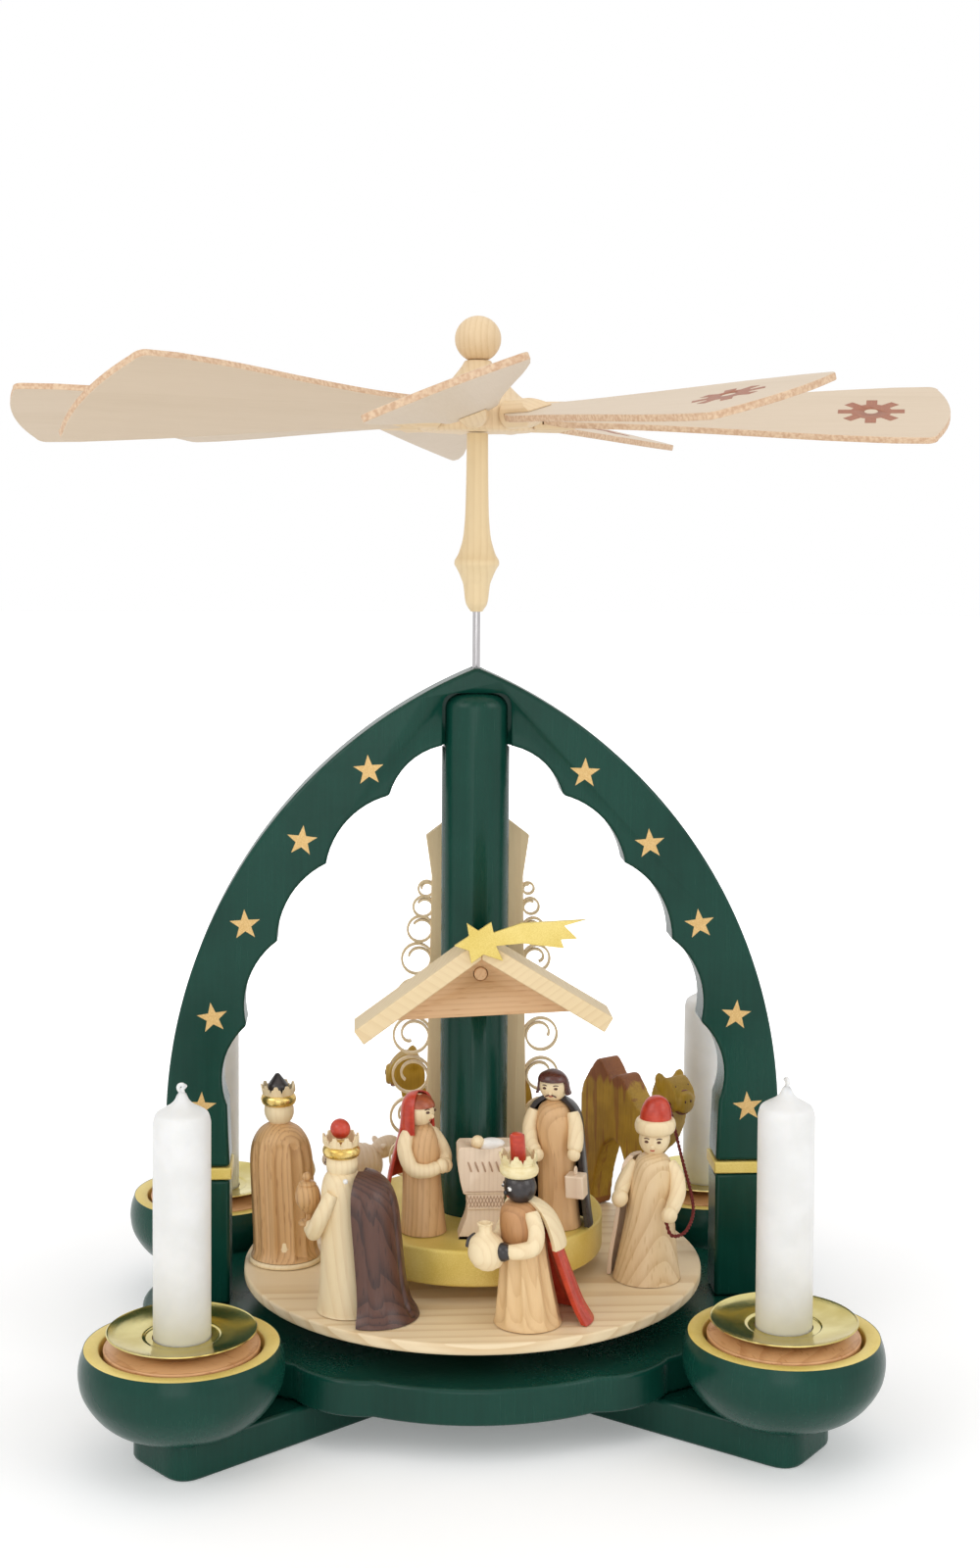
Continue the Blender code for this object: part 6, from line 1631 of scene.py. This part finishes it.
olive = (cloud * 0.6 + fibre * 0.4).between(0.3, 0.7).mixed(colour(184, 146, 40), colour(154, 118, 24))
rust = (fibre * 0.6 + cloud * 0.4).between(0.3, 0.7).mixed(colour(144, 78, 34), colour(114, 56, 26))
hump = (level + streak * 0.010).between(0.0500, 0.0525) * (1.0 - ahead.between(0.004, 0.008))
stripe = streak.between(0.55, 0.64) * (1.0 - ahead.between(0.010, 0.014)) * 0.55
hoof = 1.0 - (level + fibre * 0.001).between(0.0028, 0.0036)
rusty = grain.math("MAXIMUM", grain.math("MAXIMUM", hump * 0.9, stripe), hoof * 0.8)
feed(
    camel_shader,
    Base_Color=rusty.mixed(olive, rust),
    Roughness=fibre * 0.16 + 0.42,
    Normal=bumped(fibre * 0.7 + streak * 0.3, 0.00008),
)
rust_paint = painted("rust_paint", colour(132, 66, 32), colour(100, 46, 24))
corners = [(x * CAMEL_LENGTH, z * CAMEL_HEIGHT) for x, z in CAMEL_SHARES]
runs = [math.dist(corner, corners[number - 1]) for number, corner in enumerate(corners)]
outline = eased([
    (x, z, HOOF_EASE if z < HOOF_EASE / 2 else 0.42 * min(before, after))
    for (x, z), before, after in zip(corners, runs, runs[1:] + runs[:1])
], 4)
hide = sawn("hide", [(x, -CAMEL_THICKNESS / 2, z) for x, z in outline], (0.0, CAMEL_THICKNESS, 0.0), 0.0)
ears = [
    put(turned("ear", EAR, 16), side * 0.35, "X", (0.0186, side * -0.0031, 0.0500)) for side in (-1, 1)
]
muzzle = turned("muzzle", mm((0.0, 0.0)) + flowing(MUZZLE, 4) + mm((0.0, 3.1)), 32)
put(muzzle, TURN / 4, "Y", (0.0252, 0.0, 0.0463))
camel = fitted(joined("camel", hide, *ears, muzzle), "REMESH", mode="VOXEL", voxel_size=0.0005)
fitted(camel, "SMOOTH", factor=0.5, iterations=9)
bpy.ops.object.shade_smooth()
grained(camel, "Z")
bridle = put(hoop("bridle", 0.0044, 0.0004, 0.0009, -0.0009, 10, 40), TURN / 4, "Y", BRIDLE_PLACE)
marks = [ball("eye", 0.0007, (0.0246, side * 0.0028, 0.0514), 1.0, 12) for side in (-1, 1)]
marks += [ball("nostril", 0.00035, (0.0282, side * 0.0012, 0.0470), 1.6, 10) for side in (-1, 1)]
whole_camel = (camel, bridle, joined("marks", *marks))
for node in ("camel_far", "camel"):
    parts = [copied(piece, piece.name) for piece in whole_camel]
    stood(node, zip(parts, (camelwood, rust_paint, brown_paint)))
for piece in whole_camel:
    bpy.data.objects.remove(piece)

# The sheep: a turned pear body lying on its side with gouged ridges for its fleece, four dowel legs, a ball
# head with ears, and a stub tail.
SHEEP_LENGTH = 0.0200
SHEEP_RADIUS = 0.0075
SHEEP_HEIGHT = 0.0180
RIDGES = 9
RIDGE_STEPS = 6
LEG = mm((0.0, 0.0), (1.6, 0.0), (1.7, 0.3), (1.5, 5.0), (1.7, 12.5), (0.0, 12.5))
fleece = []
for step in range(RIDGES * RIDGE_STEPS + 1):
    share = step / (RIDGES * RIDGE_STEPS)
    swell = (1 - abs(2 * share - 1) ** 2.6) ** 0.5
    ridge = 0.965 + 0.045 * abs(math.sin(TURN / 2 * share * RIDGES))
    fleece.append((max(0.0, SHEEP_RADIUS * swell * ridge), (share - 0.5) * SHEEP_LENGTH))
fleece[0], fleece[-1] = (0.0, fleece[0][1]), (0.0, fleece[-1][1])
pieces = [put(turned("trunk", fleece, 48, 80.0), TURN / 4, "Y", (0.0, 0.0, SHEEP_HEIGHT))]
for x in (-0.27 * SHEEP_LENGTH, 0.27 * SHEEP_LENGTH):
    for side in (-1, 1):
        pieces.append(put(turned("leg", LEG, 20), at=(x, side * 0.45 * SHEEP_RADIUS, 0.0)))
pieces.append(put(ball("head", 0.0037, tall=1.5), 1.25, "Y", (0.0112, 0.0, 0.0232)))
for side in (-1, 1):
    pieces.append(
        put(ball("ear", 0.0011, tall=2.1, steps=16), side * 1.9, "X", (0.0092, side * 0.0042, 0.0246))
    )
pieces.append(ball("tail", 0.0017, (-0.0103, 0.0, 0.0212), 1.3, 16))
eyes = [ball("eye", 0.0005, (0.0133, side * 0.0030, 0.0246), 1.0, 12) for side in (-1, 1)]
stood("sheep", [(joined("sheep", *pieces), pearwood), (joined("eyes", *eyes), brown_paint)])

# The camel's lead: two dark red cotton yarns laid together, from the camel's bridle to the attendant's
# hand.
LEAD_RADIUS = 0.0006
LAY = 0.0030
YARN_SHARE = 0.58
TWIST_SHARE = 0.45
LEAD_ROUTE = (
    (0.0668, 0.01365, 0.0815), (0.0678, 0.0045, 0.0740), (0.0690, -0.0060, 0.0660),
    (0.0700, -0.0150, 0.0600),
    (0.0695, -0.0235, 0.0560), (0.0666, -0.0306, 0.0532), (0.0636, -0.0334, 0.0520),
    (0.0606, -0.0342, 0.0526),
    (0.0592, -0.0339, 0.0565),
)
route = [Vector(point) for point in flowing(LEAD_ROUTE, 14)]
yarns = []
for phase in (0.0, TURN / 2):
    points, run = [], 0.0
    for number, place in enumerate(route):
        way = (route[min(number + 1, len(route) - 1)] - route[max(number - 1, 0)]).normalized()
        aside = way.cross(Vector((1.0, 0.3, 0.2))).normalized()
        up = way.cross(aside)
        run += (place - route[max(number - 1, 0)]).length
        angle = TURN * run / LAY + phase
        points.append(
            tuple(place + (aside * math.cos(angle) + up * math.sin(angle)) * LEAD_RADIUS * TWIST_SHARE)
        )
    yarns.append(strand("yarn", points, LEAD_RADIUS * YARN_SHARE, 8))
lead = joined("lead_cord", *yarns)
cord_red, cord_shader, place = new_finish("cord_red", 0.85)
lint = place.noise(5200.0, 3.0)
feed(
    cord_shader,
    Base_Color=lint.between(0.3, 0.7).mixed(colour(122, 34, 26), colour(84, 20, 16)),
    Roughness=lint * 0.2 + 0.7,
    Normal=bumped(lint, 0.00008),
)
dressed(lead, cord_red, "turning", "red_cord", "lead")
